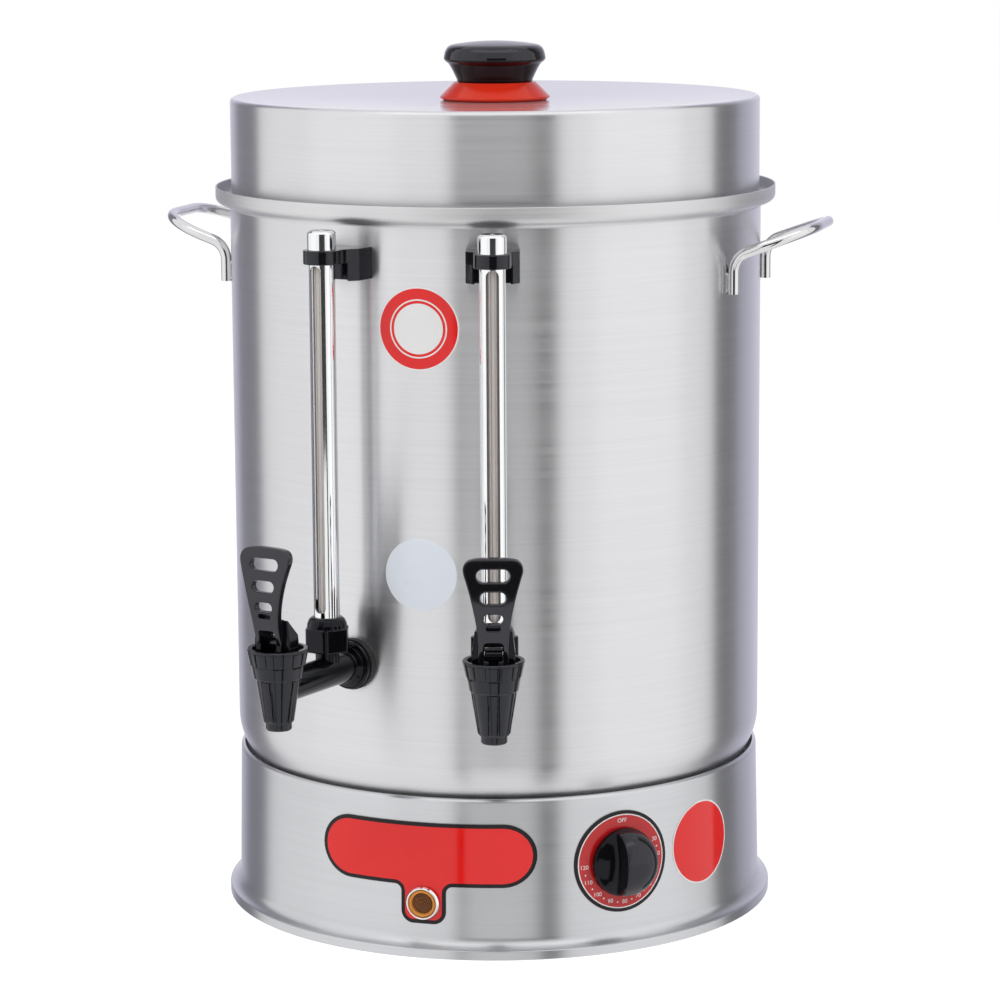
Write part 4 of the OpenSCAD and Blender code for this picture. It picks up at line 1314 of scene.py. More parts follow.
@dataclass
class Gauges:
    """Sight gauges: slotted guard tube, glass, gland nut, clip and cap on each tap."""

    angle: float = 15.4
    rho: float = 205.0
    arm_z: float = 186.0
    guard_r: float = 8.15
    wall: float = 1.0
    slot_half: float = 4.0
    slot_edge: float = 0.42
    guard_low: float = 209.0
    guard_top: float = 457.0
    slot_low: float = 228.8
    slot_top: float = 437.6
    clip_low: float = 442.4
    clip_top: float = 451.0
    clip_foot: float = 431.2
    clip_half: float = 16.6
    clip_ring: float = 11.5
    clip_edge: float = 0.45
    clip_lap: float = 0.4
    tank_r: float = 175.0
    flat_wide: float = 1.125
    flat_hard: float = 70.0
    flat_top: float = 29.4

    def places(self, z: float) -> list[Matrix]:
        """Returns the gauges' axes at a height, tea side first."""
        return [upright(side.value * self.angle, self.rho, z) for side in Side]

    def build(self) -> None:
        """Builds both gauges."""
        for side, place in zip(Side, self.places(0)):
            k = side.key
            fit(piece(k + "_gauge_guard", [moved(self.guard(), place)]), CHROME, Body.URN, k + "_guard")
            clip = [moved(s, place) for s in self.clip()]
            fit(piece(k + "_gauge_clip", clip, MOULDED_EDGE), BLACK, Body.URN, k + "_bracket")
        tubes = [moved(self.glass(), p) for p in self.places(0)]
        fit(piece("gauge_glass_tubes", tubes), GLASS, Body.URN, "gauge_glasses")
        caps = [moved(self.cap(), p) for p in self.places(self.clip_top)]
        fit(piece("gauge_top_caps", caps), CHROME, Body.URN, "gauge_caps")
        nuts = [moved(self.nut(), p) for p in self.places(self.arm_z)]
        # The gland nuts get the darker black, as painted shade
        fit(piece("gauge_gland_nuts", nuts, MOULDED_EDGE), SHADED_BLACK, Body.URN, "gauge_nuts")

    def guard(self) -> Shape:
        """Builds the guard tube with its round-ended slot towards -y.

        Returns:
            The tube about the gauge's axis.
        """
        h = self.slot_half
        quarter = [math.radians(7.5 * i) for i in range(13)]
        low = [(self.slot_low - h * math.cos(t), h * math.sin(t)) for t in quarter]
        high = [(self.slot_top + h * math.sin(t), h * math.cos(t)) for t in quarter]
        middle = [(self.slot_low + (self.slot_top - self.slot_low) * i / 8, h) for i in range(1, 8)]
        rows = [(self.guard_low, 0.0)] + low + middle + high + [(self.guard_top, 0.0)]
        shape = bmesh.new()
        columns = 56
        grids = []
        for r in (self.guard_r, self.guard_r - self.wall):
            grid = []
            for z, x in rows:
                edge = math.asin(max(x, 0.0) / r)
                turns = [edge + (math.tau - 2 * edge) * i / columns for i in range(columns + 1)]
                grid.append([shape.verts.new((r * math.sin(t), -r * math.cos(t), z)) for t in turns])
            grids.append(grid)
        outer, inner = grids
        for j in range(len(rows) - 1):
            for i in range(columns):
                shape.faces.new((outer[j][i], outer[j][i + 1], outer[j + 1][i + 1], outer[j + 1][i]))
                shape.faces.new((inner[j][i + 1], inner[j][i], inner[j + 1][i], inner[j + 1][i + 1]))
            if rows[j][1] > TINY or rows[j + 1][1] > TINY:
                for i in (0, columns):
                    shape.faces.new((outer[j][i], outer[j + 1][i], inner[j + 1][i], inner[j][i]))
        for j in (0, len(rows) - 1):
            for i in range(columns):
                shape.faces.new((outer[j][i], inner[j][i], inner[j][i + 1], outer[j][i + 1]))
        bmesh.ops.remove_doubles(shape, verts=shape.verts, dist=MERGE)
        lips = [e for e in shape.edges if len(e.link_faces) == 2 and e.calc_face_angle(0.0) > 1.0]
        lips = [e for e in lips if all(v.co.xy.length > self.guard_r - 0.1 for v in e.verts)]
        return softened(shape, lips, self.slot_edge)

    def glass(self) -> Shape:
        """Returns the glass tube."""
        low, high = self.arm_z + 10.2, self.clip_top + 3
        return turned(rounded([(5.5, low, 0.3), (5.5, high, 0.3), (4.2, high, 0.3), (4.2, low, 0.3)], 3), 64)

    def cap(self) -> Shape:
        """Turns the bright cap with its sleeve.

        Returns:
            The cap about the gauge's axis, with its edge at 0.
        """
        r = self.guard_r + 0.1
        corners = [
            (5.6, -4, 0), (7.05, -4, 0.2), (7.05, 6.2, 0), (r, 6.2, 0), (r, 0, 0.15), (8.9, 0, 0.25),
            (8.9, 10.6, 1.4), (7.3, 12, 1.2), (1.5, 12, 0.4), (1.5, 9, 0), (5.6, 9, 0),
        ]
        return turned(rounded(corners, 5), 64)

    def nut(self) -> Shape:
        """Turns the gland nut: six flats under a dome.

        Returns:
            The nut about the gauge's axis, with the tap's arm at 0.
        """
        corners = [
            (7.6, 14, 0), (12.6, 14, 0.3), (13.1, 14.8, 0.4), (13.1, 28.4, 0.4), (12.5, 29.2, 0.3), (12.4, 31.2, 1.6),
            (11.2, 34.2, 2), (9.4, 35.6, 0.6), (8.3, 35.6, 0.2), (8.3, 23, 0), (7.6, 23, 0),
        ]
        hard, sector = self.flat_hard, math.radians(60)

        def flats(t: float, r: float, z: float) -> float:
            """Radius with six flats that fade into the dome.

            Args:
                t: Turn about the nut's axis.
                r: Radius of the plain profile.
                z: Height.

            Returns:
                The radius there.
            """
            turn = (t + math.radians(30)) % sector - math.radians(30)
            share = max(0.0, min(1.0, (self.flat_top - z) / 0.8)) if r > 9 else 0.0
            wide = -math.log(math.exp(-hard / math.cos(turn)) + math.exp(-hard * self.flat_wide)) / hard
            return r * (1 + share * (wide - 1))

        return turned(rounded(corners, 3), 144, flats)

    def clip(self) -> list[Shape]:
        """Builds the clip's ring with its block, and the cheeks below.

        Returns:
            Both shapes about the gauge's axis.
        """
        deep = self.tank_r + 0.1

        def back(x: float) -> float:
            """Distance from the gauge's axis to the wall beside it."""
            return self.rho - math.sqrt(deep * deep - x * x)

        w = self.clip_half
        wall = [(w - 2 * w * i / 10, back(w - 2 * w * i / 10)) for i in range(11)]
        turn = math.degrees(math.acos(10.6 / self.clip_ring))
        ring = arc(0, 0, self.clip_ring, 180 - turn, 360 + turn, 40)
        right = [(12.4, 11.6), (w, 16.5)]
        left = [(-x, y) for x, y in reversed(right)]
        over = ring + [(10.8, 9)] + right + wall + left + [(-10.8, 9)]
        under = right + wall + left + [(-11, 11.6), (-11, 17), (11, 17), (11, 11.6)]
        top = slab([over, disc(self.guard_r + 0.1, 64)], self.clip_top - self.clip_low, self.clip_edge)
        low = slab([under], self.clip_low - self.clip_foot + self.clip_lap, self.clip_edge)
        return [
            shifted(top, z=(self.clip_top + self.clip_low) / 2),
            shifted(low, z=(self.clip_low + self.clip_lap + self.clip_foot) / 2),
        ]


@dataclass
class Taps:
    """Self-closing lever taps: body, ribbed bonnet, spring and slotted lever on each side."""

    angle: float = 15.4
    rho: float = 259.0
    arm_z: float = 186.0
    gauge_rho: float = 205.0
    arm_r: float = 9.9
    flange_rho: float = 179.4
    pin_z: float = 29.0
    cam_h: float = 7.7
    cam_k: float = 3.8197
    lever_w: float = 36.2
    lever_h: float = 61.0
    bow_z: float = 32.0
    bow_out: float = 12.5
    sag_low: float = 0.0056
    sag_high: float = 0.0046
    recess_z: float = 18.6
    fork_half: float = 5.7
    leg_out: float = 9.1
    ear_out: float = 13.0
    ear_h: float = 15.6
    ear_draw: float = 0.4
    ribs: int = 14
    pad_low: float = 15.75
    pad_top: float = 24.15
    pad_r: float = 17.05
    pad_gap: float = 0.045
    pad_steps: int = 6
    tea_shank: float = 32.0
    water_shank: float = 22.0
    lift: float = 3.0
    pocket_low: float = -3.0
    pocket_top: float = 17.0
    coil_r: float = 5.4
    coils: int = 7
    coil_steps: int = 28
    close_coil: float = 1.35
    spring_wire: float = 0.55
    spring_gap: float = 0.05

    def build(self) -> None:
        """Builds both taps."""
        for side, shank in ((Side.TEA, self.tea_shank), (Side.WATER, self.water_shank)):
            k = side.key
            place = upright(side.value * self.angle, self.rho, self.arm_z)
            pin = place @ Matrix.Translation((0, 0, self.pin_z))
            for name, shapes, at, finish, body, nodes in (
                ("barrel", [self.barrel()], place, BLACK, Body.URN, ("_tap_body",)),
                # The arms and the lever cheeks get the darker black, as painted shade
                ("arm", self.arm(shank), place, SHADED_BLACK, Body.URN, ()),
                ("bonnet", self.bonnet(), place, BLACK, Body.URN, ("_bonnet",)),
                # The levers get the more strongly reflecting black, as painted sheen
                ("lever", self.lever(), pin, LIT_LEVER_BLACK, side.handle, ("_lever",)),
                ("lever_cheeks", self.cheeks(), pin, SHADED_BLACK, side.handle, ()),
            ):
                made = piece(k + "_tap_" + name, [moved(s, at) for s in shapes], MOULDED_EDGE)
                fit(made, finish, body, *(k + node for node in nodes))
            spring = fit(piece(k + "_tap_spring", [moved(self.spring(), place)]), CHROME, Body.URN, k + "_spring")
            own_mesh(spring)

    def spring(self) -> Shape:
        """Winds the closing spring between the seal and the bonnet's roof, with a close coil at each end.

        Returns:
            The spring about the tap's axis.
        """
        gap, close, turns = self.spring_wire + self.spring_gap, self.close_coil, self.coils
        low, high = self.pocket_low + gap, self.pocket_top - gap
        path = []
        for i in range(turns * self.coil_steps + 1):
            t = i / self.coil_steps
            z = low + close * t
            if t > turns - 1:
                z = high - close * (turns - t)
            elif t > 1:
                z = low + close + (high - low - 2 * close) * (t - 1) / (turns - 2)
            path.append((self.coil_r * math.cos(math.tau * t), self.coil_r * math.sin(math.tau * t), z))
        return Trees.bake(Trees.rod(), wire(path), CHROME, Radius=self.spring_wire, Sides=12)

    def barrel(self) -> Shape:
        """Turns the tapered barrel with its nozzle and four flat ribs.

        Returns:
            The barrel about the tap's axis.
        """
        cone = [(9.4 + 4.2 * (z + 20) / 27, z, 0) for z in (-19.6, -19, -15, -10, -5, 0, 4, 6, 6.6)]
        nozzle = [
            (5.3, -25.5, 0.2), (7.4, -25.5, 0.4), (8.1, -24.6, 0.4), (8.1, -20.5, 0.15), (9.0, -20.5, 0.2),
            (9.3, -20.1, 0.2),
        ]
        collar = [
            (13.6, 7, 0), (14.4, 7, 0.2), (15, 7.6, 0.3), (16.2, 14.4, 0.5), (16.2, 15.5, 0.2), (12.35, 15.5, 0),
            (12.35, 9.7, 0), (5.3, 9.7, 0),
        ]
        rib_half, groove_half = 2.6, 3.5

        def ribbed(t: float, r: float, z: float) -> float:
            """Radius of the cone with four flat ribs between grooves.

            Args:
                t: Turn about the tap's axis.
                r: Radius of the plain profile.
                z: Height.

            Returns:
                The radius there.
            """
            if not -19.3 < z < 6.5 or r < 9:
                return r
            turn = (t + math.radians(45)) % math.radians(90) - math.radians(45)
            aside = abs(r * math.sin(turn))
            return r + (0.5 if aside < rib_half else -0.55 if aside < groove_half else 0.0)

        return turned(rounded(nozzle + cone + collar, 3), 240, ribbed)

    def arm(self, shank: float) -> list[Shape]:
        """Turns the arm with its flange and shank, and the gauge neck.

        Args:
            shank: Length of the shank behind the flange.

        Returns:
            Shapes about the tap's axis, with the tank towards +y.
        """
        reach = self.rho - self.flange_rho
        tip = reach + shank
        corners = [
            (0, 6, 0), (self.arm_r, 6, 0), (self.arm_r, reach - 7.4, 1.5), (13.2, reach - 5.6, 0.7),
            (13.4, reach - 3.4, 0.2), (15.1, reach - 3.4, 0.4), (15.5, reach - 2.9, 0.4), (15.5, reach, 0.2),
            (8, reach, 0), (8, tip, 0.3), (5, tip, 0.3), (5, reach, 0), (0, reach, 0),
        ]
        arm = moved(turned(rounded(corners), 96), Matrix.Rotation(math.radians(-90), 4, "X"))
        corners = [(0, 2, 0), (7.5, 2, 0), (7.5, 22, 0.4), (5.6, 22, 0.3), (5.6, 10, 0), (0, 10, 0)]
        neck = shifted(turned(rounded(corners, 3), 64), y=self.rho - self.gauge_rho)
        return [arm, neck]

    def bonnet(self) -> list[Shape]:
        """Turns the bonnet's core and sets the pads round its collar.

        Returns:
            Both shapes about the tap's axis.
        """
        corners = [
            (3.05, 17, 0), (7.6, 17, 0), (7.6, 9.6, 0), (12.3, 9.6, 0), (12.3, 15.5, 0), (16.2, 15.5, 0.2),
            (16.6, 16, 0.3), (18.0, 23.9, 0.3), (18.8, 24.3, 0.3), (19.0, 25.2, 0.3), (18.5, 26, 0.4), (16.0, 26, 0.4),
            (15.4, 22.2, 0.8), (14, 21, 0.8), (3.05, 21, 0.2),
        ]
        core = turned(rounded(corners, 3), 112)
        pads = Trees.bake(Trees.ring(), self.pad(), BLACK, Count=self.ribs, Step=math.tau / self.ribs)
        return [core, pads]

    def pad(self) -> Shape:
        """Builds one flat pad of the collar, at the front.

        Returns:
            The pad about the tap's axis.
        """
        n = self.pad_steps
        half = math.radians(180 / self.ribs) - self.pad_gap
        shape = bmesh.new()
        rings = []
        for inset, sink in ((0.35, 0.0), (0.1, 0.12), (0.0, 0.4), (0.0, 1.3)):
            low, high, side = self.pad_low + inset, self.pad_top - inset, half - inset / 18
            outline = [(-side + 2 * side * i / n, low) for i in range(n + 1)]
            outline += [(side - 2 * side * i / n, high) for i in range(n + 1)]
            ring = []
            for t, z in outline:
                r = self.pad_r + 1.8 * (z - 16) / 8.6 - sink
                ring.append(shape.verts.new((r * math.sin(t), -r * math.cos(t), z)))
            rings.append(ring)
        count = len(rings[0])
        for a, b in zip(rings, rings[1:]):
            for i in range(count):
                shape.faces.new((a[i], a[(i + 1) % count], b[(i + 1) % count], b[i]))
        for ring in (rings[0], rings[-1]):
            for i in range(n):
                shape.faces.new((ring[i], ring[i + 1], ring[count - 2 - i], ring[count - 1 - i]))
        return shape

    def lever(self) -> list[Shape]:
        """Builds the lever's bowed paddle with its slots, and the floor of its lowest recess.

        Returns:
            Both shapes about the lever's pin.
        """
        w, h, f, o = self.lever_w / 2, self.lever_h, self.fork_half, self.leg_out
        right = curved([
            (o, 2), (o + 0.1, 9), (9.9, 18), (11.6, 28), (14.0, 38.5), (16.4, 47), (w - 0.05, 53), (w - 0.5, 56.6),
            (w - 2.6, 59.2), (w * 0.66, h - 0.7), (w * 0.33, h - 0.15), (0, h),
        ])
        left = [(-x, y) for x, y in reversed(right[:-1])]
        foot = rounded([
            (-f, 9, 2.2), (f, 9, 2.2), (f, -3.6, 0.8), (o, -3.6, 0.8), (o, 2, 0), (0, 30, 0), (-o, 2, 0),
            (-o, -3.6, 0.8), (-f, -3.6, 0.8),
        ], 6)
        top = foot.index((0, 30))
        outline = foot[:top] + right[1:] + left[:-1] + foot[top + 1:]
        slots = [(h - 10.5, 20.0, 7.6), (h - 23.8, 15.5, 7.2), (h - 36.6, 12.0, 6.0), (self.recess_z, 8.6, 2.6)]
        holes = [[(x, y + z) for x, y in stadium(wide, high)] for z, wide, high in slots]
        paddle = slab([outline, *holes], 5.0, 0.9, 3)
        sliced(paddle, 1, [-2 + 1.5 * i for i in range(42)])

        def bowed(p: Vector) -> Vector:
            """Flat (across, up, out) to the pin's frame, with a face that bows outward."""
            sag = self.sag_low if p.y < self.bow_z else self.sag_high
            return Vector((p.x, -(p.z + self.bow_out - sag * (max(p.y, 0.0) - self.bow_z) ** 2), p.y))

        back = shifted(slab([stadium(13, 6)], 1.2, 0.3), y=self.recess_z, z=-1.7)
        return [mapped(paddle, bowed), mapped(back, bowed)]

    def cheeks(self) -> list[Shape]:
        """Builds the fork legs with their cams, and the ears beside them.

        Returns:
            Two legs and two ears about the lever's pin.
        """
        c, k = self.cam_h, self.cam_k
        cam = []
        for i in range(10):
            t = math.radians(5 * i)
            p = c + k * t
            cam.append((p * math.sin(t) + k * math.cos(t), -p * math.cos(t) + k * math.sin(t)))
        leg = [(-4.5, -c)] + cam + [(9.2, 2), (9.2, 8), (9.4, 15.4), (5.7, 16.2), (-4.5, 5.8)]
        ear = rounded([
            (-4.5, -c, 0.6), (k, -c, 2), (6.2, -c + 0.8, 0.5), (6.2, self.ear_h, 2.4), (4.6, self.ear_h, 0.4),
            (-4.5, 5.6, 1.2),
        ], 3)

        def narrowed(p: Vector, mid: float) -> Vector:
            """Flat (back, up, across) to the pin's frame, drawn in towards the top of the ears.

            Args:
                p: Point of the flat plate.
                mid: Where the plate's middle stands across the lever.

            Returns:
                The point in the pin's frame.
            """
            x = p.z + mid
            rise = min(1.0, max(0.0, (p.y - 2) / 13))
            drawn = self.ear_draw * rise * max(0.0, abs(x) - self.leg_out)
            return Vector((math.copysign(abs(x) - drawn, x), -p.x, p.y))

        shapes = []
        for s in (-1, 1):
            for flank, reach, edge in ((leg, self.leg_out, 0.4), (ear, self.ear_out, 0.9)):
                plate = slab([flank], reach - self.fork_half, edge)
                sliced(plate, 1, [2.0, 8.0])
                mid = s * (reach + self.fork_half) / 2
                shapes.append(mapped(plate, lambda p, m=mid: narrowed(p, m)))
        return shapes


@dataclass
class FrontPlate:
    """Front plate on the base: a round-ended bar with a tab, red inside a black border."""

    width: float = 142.0
    height: float = 41.0
    bar_z: float = 66.0
    tab_half: float = 14.7
    tab_low: float = 20.7
    tab_r: float = 8.0
    fillet: float = 4.5
    border: float = 2.5
    plate_h: float = 0.4
    field_lift: float = 0.63
    field_h: float = 0.1

    def outline(self, inset: float) -> list[Point]:
        """Outline of the plate about the bar's centre.

        Args:
            inset: Distance by which the outline is drawn in.

        Returns:
            The outline's points.
        """
        w, h, x = self.width / 2 - inset, self.height / 2 - inset, self.tab_half - inset
        low, bow = self.tab_low + inset - self.bar_z, self.fillet + inset
        end, r = w - h, self.tab_r - inset
        return (
            arc(end, 0, h, 90, -90, 24)
            + arc(x + bow, -h - bow, bow, 90, 180, 8)
            + arc(x - self.tab_r + inset, low + self.tab_r - inset, r, 0, -90, 10)
            + arc(-x + self.tab_r - inset, low + self.tab_r - inset, r, 270, 180, 10)
            + arc(-x - bow, -h - bow, bow, 0, 90, 8)
            + arc(-end, 0, h, 270, 90, 24)
        )

    def build(self) -> None:
        """Builds the plate with its border and its red field."""
        back = printed([self.outline(0)], BASE_WALL.wrap(0, self.bar_z, self.plate_h), self.plate_h)
        over = BASE_WALL.wrap(0, self.bar_z, self.field_lift)
        field = printed([self.outline(self.border)], over, self.field_h)
        fit(piece("front_plate_border", [back]), BLACK_PRINT, Body.URN, "front_plate")
        fit(piece("front_plate_field", [field]), RED_PRINT, Body.URN)


@dataclass
class SignalLamp:
    """Signal lamp in the plate's tab: bright bezel and ridged amber lens."""

    z: float = 34.3
    face: float = 0.75
    bezel_r: float = 11.0
    lens_r: float = 8.8

    def build(self) -> None:
        """Builds the bezel and the lens."""
        seat = BASE_WALL.radius(self.z - self.bezel_r) + self.face
        place = radial(0, self.z, seat)
        r, b = self.bezel_r, self.lens_r
        bezel = rounded([(b, 0, 0), (r, 0, 0.2), (r, 1.5, 1.1), (r - 0.9, 3, 0.6), (r - 1.5, 3, 0.4), (b, 1.9, 0.2)], 6)
        fit(piece("lamp_ring", [moved(turned(bezel, 96), place)]), CHROME, Body.URN, "lamp_bezel")
        seat_lens = radial(0, self.z, seat + 0.1)
        rim = [(b - 2.2, 0), (b - 0.05, 0), (b - 0.05, 1.6)] + arc(b - 1.0, 1.9, 0.85, -10, 170, 10) + [(b - 2.2, 1.2)]
        fit(piece("lamp_lens_rim", [moved(turned(rim, 96), seat_lens)]), AMBER, Body.URN, "lamp_lens")
        core = [(0, 0), (b - 2.2, 0), (b - 2.2, 1.0)]
        for i in range(4, 0, -1):
            mid = 1.45 * i
            core += [(mid + 0.55, 0.8), (mid + 0.15, 1.35), (mid - 0.35, 1.35), (mid - 0.7, 0.8)]
        core += [(0.4, 1.2), (0, 1.3)]
        fit(piece("lamp_lens_core", [moved(turned(core, 96), seat_lens)]), DEEP_AMBER, Body.URN)


@dataclass
class ThermostatDial:
    """Thermostat dial: ringed plate with a plain scale, and the half-moon knob."""

    angle: float = 42.5
    z: float = 57.5
    plate_r: float = 33.0
    line_out: float = 30.7
    line_in: float = 30.0
    scale_r: float = 26.6
    first_turn: float = 65.0
    turn_step: float = 22.4
    first: int = 30
    last: int = 120
    scale_step: int = 10
    line_lap: float = 0.4
    hole_r: float = 5.4
    plate_lift: float = 0.45
    plate_h: float = 0.5
    line_lift: float = 0.73
    field_lift: float = 0.75
    field_h: float = 0.08
    mark_lift: float = 0.81
    figure_h: float = 2.7
    print_h: float = 0.06
    dot_r: float = 0.55
    knob_gap: float = 1.6
    knob_r: float = 22.3
    knob_h: float = 20.3
    knob_face: float = 6.6
    knob_bulge: float = 2.8
    skirt_h: float = 4.4

    def build(self) -> None:
        """Builds the plate, its print and the knob."""

        def layer(lift: float) -> Callable[[Vector], Vector]:
            """Rule for a layer of the dial."""
            return BASE_WALL.wrap(self.angle, self.z, lift)

        hole = disc(self.hole_r, 32)
        plate = printed([disc(self.plate_r), hole], layer(self.plate_lift), self.plate_h)
        fit(piece("dial_ring_plate", [plate]), BLACK_PRINT, Body.URN, "dial_plate")
        inner = disc(self.line_in - self.line_lap)
        line = printed([disc(self.line_out), inner], layer(self.line_lift), self.print_h)
        field = printed([disc(self.line_in), hole], layer(self.field_lift), self.field_h)
        # The dial's field is printed in the darker red, as painted shade
        fit(piece("dial_red_field", [field]), SHADED_DIAL_RED, Body.URN)
        over = layer(self.mark_lift)
        marks = [line]
        for n, degrees in enumerate(range(self.first, self.last + 1, self.scale_step)):
            turn = math.radians(self.first_turn + self.turn_step * n)
            marks.append(self.figures(str(degrees), self.scale_r * math.sin(turn), self.scale_r * math.cos(turn), over))
        marks.append(self.figures("OFF", 0, self.scale_r, over))
        marks.append(mapped(self.dots(), over))
        fit(piece("dial_scale", marks), WHITE_PRINT, Body.URN)
        seat = radial(self.angle, self.z, BASE_WALL.radius(self.z) + self.knob_gap)
        skirt, dome = self.knob()
        fit(piece("dial_knob", [moved(dome, seat)], KNOB_EDGE), KNOB_BLACK, Body.DIAL, "thermostat_knob")
        # The knob's skirt gets the darker black, as painted shade
        fit(piece("dial_knob_skirt", [moved(skirt, seat)], KNOB_EDGE), SHADED_BLACK, Body.DIAL)

    def knob(self) -> list[Shape]:
        """Builds the knob: a low dome, and a higher one on its right with an arched face to the left.

        Returns:
            The skirt with the low dome, and the high dome, about the knob's axis.
        """
        r, h, low = self.knob_r, self.knob_h, self.skirt_h
        edge = rounded([
            (0, 0, 0), (r - 0.3, 0, 0.2), (r, 0.6, 0.3), (r - 0.4, low - 0.8, 0.8), (r - 1.6, low, 0.6),
            (r - 4, low + 0.9, 0),
        ])
        shares = [1 - i / 10 for i in range(1, 11)]
        skirt = turned(edge + [((r - 4) * share, low + 0.9 + 4.3 * (1 - share**2)) for share in shares], 96)
        reach = r - 1.0
        dome = bmesh.new()
        rows, columns = 40, 26
        grid, floor = [], []
        for i in range(rows + 1):
            y = 0.985 * reach * math.sin(math.pi * (i / rows - 0.5))
            far = math.sqrt(reach**2 - y * y)
            near = -min(self.knob_face, 0.97 * far)
            line, under = [], []
            for j in range(columns + 1):
                x = near + (far - near) * math.sin(math.pi / 2 * j / columns)
                share = min(1.0, math.hypot(x, y) / reach)
                z = low - 0.6 + (h - low + 0.6) * math.sqrt(max(0.0, 1 - share**self.knob_bulge))
                line.append(dome.verts.new((x, y, z)))
                under.append(dome.verts.new((x, y, low - 1.2)))
            grid.append(line)
            floor.append(under)
        for i in range(rows):
            for j in range(columns):
                dome.faces.new((grid[i][j], grid[i][j + 1], grid[i + 1][j + 1], grid[i + 1][j]))
                dome.faces.new((floor[i][j], floor[i + 1][j], floor[i + 1][j + 1], floor[i][j + 1]))
            for j in (0, columns):
                dome.faces.new((grid[i][j], grid[i + 1][j], floor[i + 1][j], floor[i][j]))
        for i in (0, rows):
            for j in range(columns):
                dome.faces.new((grid[i][j], floor[i][j], floor[i][j + 1], grid[i][j + 1]))
        crest = [dome.edges.get((grid[i][0], grid[i + 1][0])) for i in range(rows)]
        return [skirt, softened(dome, crest, 0.7)]

    def figures(self, text: str, x: float, y: float, rule: Callable[[Vector], Vector]) -> Shape:
        """Returns figures at a point of the scale, laid on the wall."""
        return mapped(shifted(lettering(text, self.figure_h, self.print_h), x, y), rule)

    def dots(self) -> Shape:
        """Sets the dots between the figures, as a ring of copies.

        Returns:
            The dots, flat, about the dial's centre.
        """
        turn = math.radians(self.first_turn + self.turn_step / 2)
        dot = slab([disc(self.dot_r, 14)], self.print_h)
        shifted(dot, self.scale_r * math.sin(turn), self.scale_r * math.cos(turn))
        count = (self.last - self.first) // self.scale_step
        return Trees.bake(Trees.ring(), dot, WHITE_PRINT, Count=count, Step=-math.radians(self.turn_step))


@dataclass
class Stickers:
    """Round stickers on the tank and the base, all plain."""

    upper_z: float = 401.0
    upper_r: float = 26.0
    lower_z: float = 246.3
    lower_r: float = 23.2
    side_angle: float = 64.5
    side_z: float = 58.8
    side_r: float = 27.4
    side_edge: float = 1.0
    upper_edge: float = 0.9
    ring_out: float = 18.4
    ring_in: float = 17.5
    core_r: float = 15.8
    back_h: float = 0.08
    pale_h: float = 0.1
    field_lift: float = 0.14
    field_h: float = 0.06
    mark_lift: float = 0.19
    mark_h: float = 0.05

    def build(self) -> None:
        """Builds the three stickers in layers."""

        def upper(lift: float) -> Callable[[Vector], Vector]:
            """Rule for a layer of the upper sticker."""
            return TANK_WALL.wrap(0, self.upper_z, lift)

        def side(lift: float) -> Callable[[Vector], Vector]:
            """Rule for a layer of the side sticker."""
            return BASE_WALL.wrap(self.side_angle, self.side_z, lift)

        rims = [
            printed([disc(self.upper_r)], upper(self.back_h), self.back_h),
            printed([disc(self.side_r)], side(self.back_h), self.back_h),
        ]
        fields = [
            printed([disc(self.upper_r - self.upper_edge)], upper(self.field_lift), self.field_h),
            printed([disc(self.side_r - self.side_edge)], side(self.field_lift), self.field_h),
        ]
        rims += [
            printed([disc(self.ring_out), disc(self.ring_in)], upper(self.mark_lift), self.mark_h),
            printed([disc(self.core_r)], upper(self.mark_lift), self.mark_h),
        ]
        fit(piece("sticker_rims", rims), WHITE_PRINT, Body.URN)
        fit(piece("sticker_red_fields", fields), RED_PRINT, Body.URN)
        pale = printed([disc(self.lower_r)], TANK_WALL.wrap(0, self.lower_z, self.back_h), self.pale_h)
        fit(piece("sticker_pale_disc", [pale]), PALE_PRINT, Body.URN)


class CarriedOver:
    """CAD nodes whose shape is right: they only get their finish."""

    FINISHES: dict[str, Finish] = {
        finish.slot.value: finish
        for finish in (PLAIN_STEEL, CHROME, BLACK, RED_PLASTIC, RED_PRINT, PALE, AMBER, RUBBER, BRASS, GLASS)
    }

    def build(self) -> None:
        """Dresses each CAD node that still shows."""
        slots = {part["node"]: part["material_slot"] for part in frame["record"]["subparts"]}
        for name, node in sorted(frame["nodes"].items()):
            if node.hide_render:
                continue
            # The tap stems show dark between the lever's legs
            finish = BLACK if name.endswith("_stem") else self.FINISHES[slots[name]]
            node.data.materials.clear()
            node.data.materials.append(finish.material())
            LOG.info("%s: carried over, %s", name, finish.name)


# ---- Studio


@dataclass(frozen=True)
class Card:
    """Reflector or flag round the set, seen only in polished surfaces.

    It spans from start to end in degrees to the camera's right, and from low to high in metres. Its colour
    runs from first to last.
    """

    name: str
    start: float
    end: float
    first: Colour
    last: Colour
    low: float = -4.0
    high: float = 4.0


@dataclass(frozen=True)
class Lamp:
    """Soft lamp: degrees to the camera's right and above the floor, distance and edge in metres, and watts."""

    name: str
    azimuth: float
    elevation: float
    away: float
    size: float
    power: float


def grey(level: float, blue: float = 1.0) -> Colour:
    """Grey of a level, with its blue turned up."""
    return (level, level * (1.08 - 0.08 * blue), level * blue)


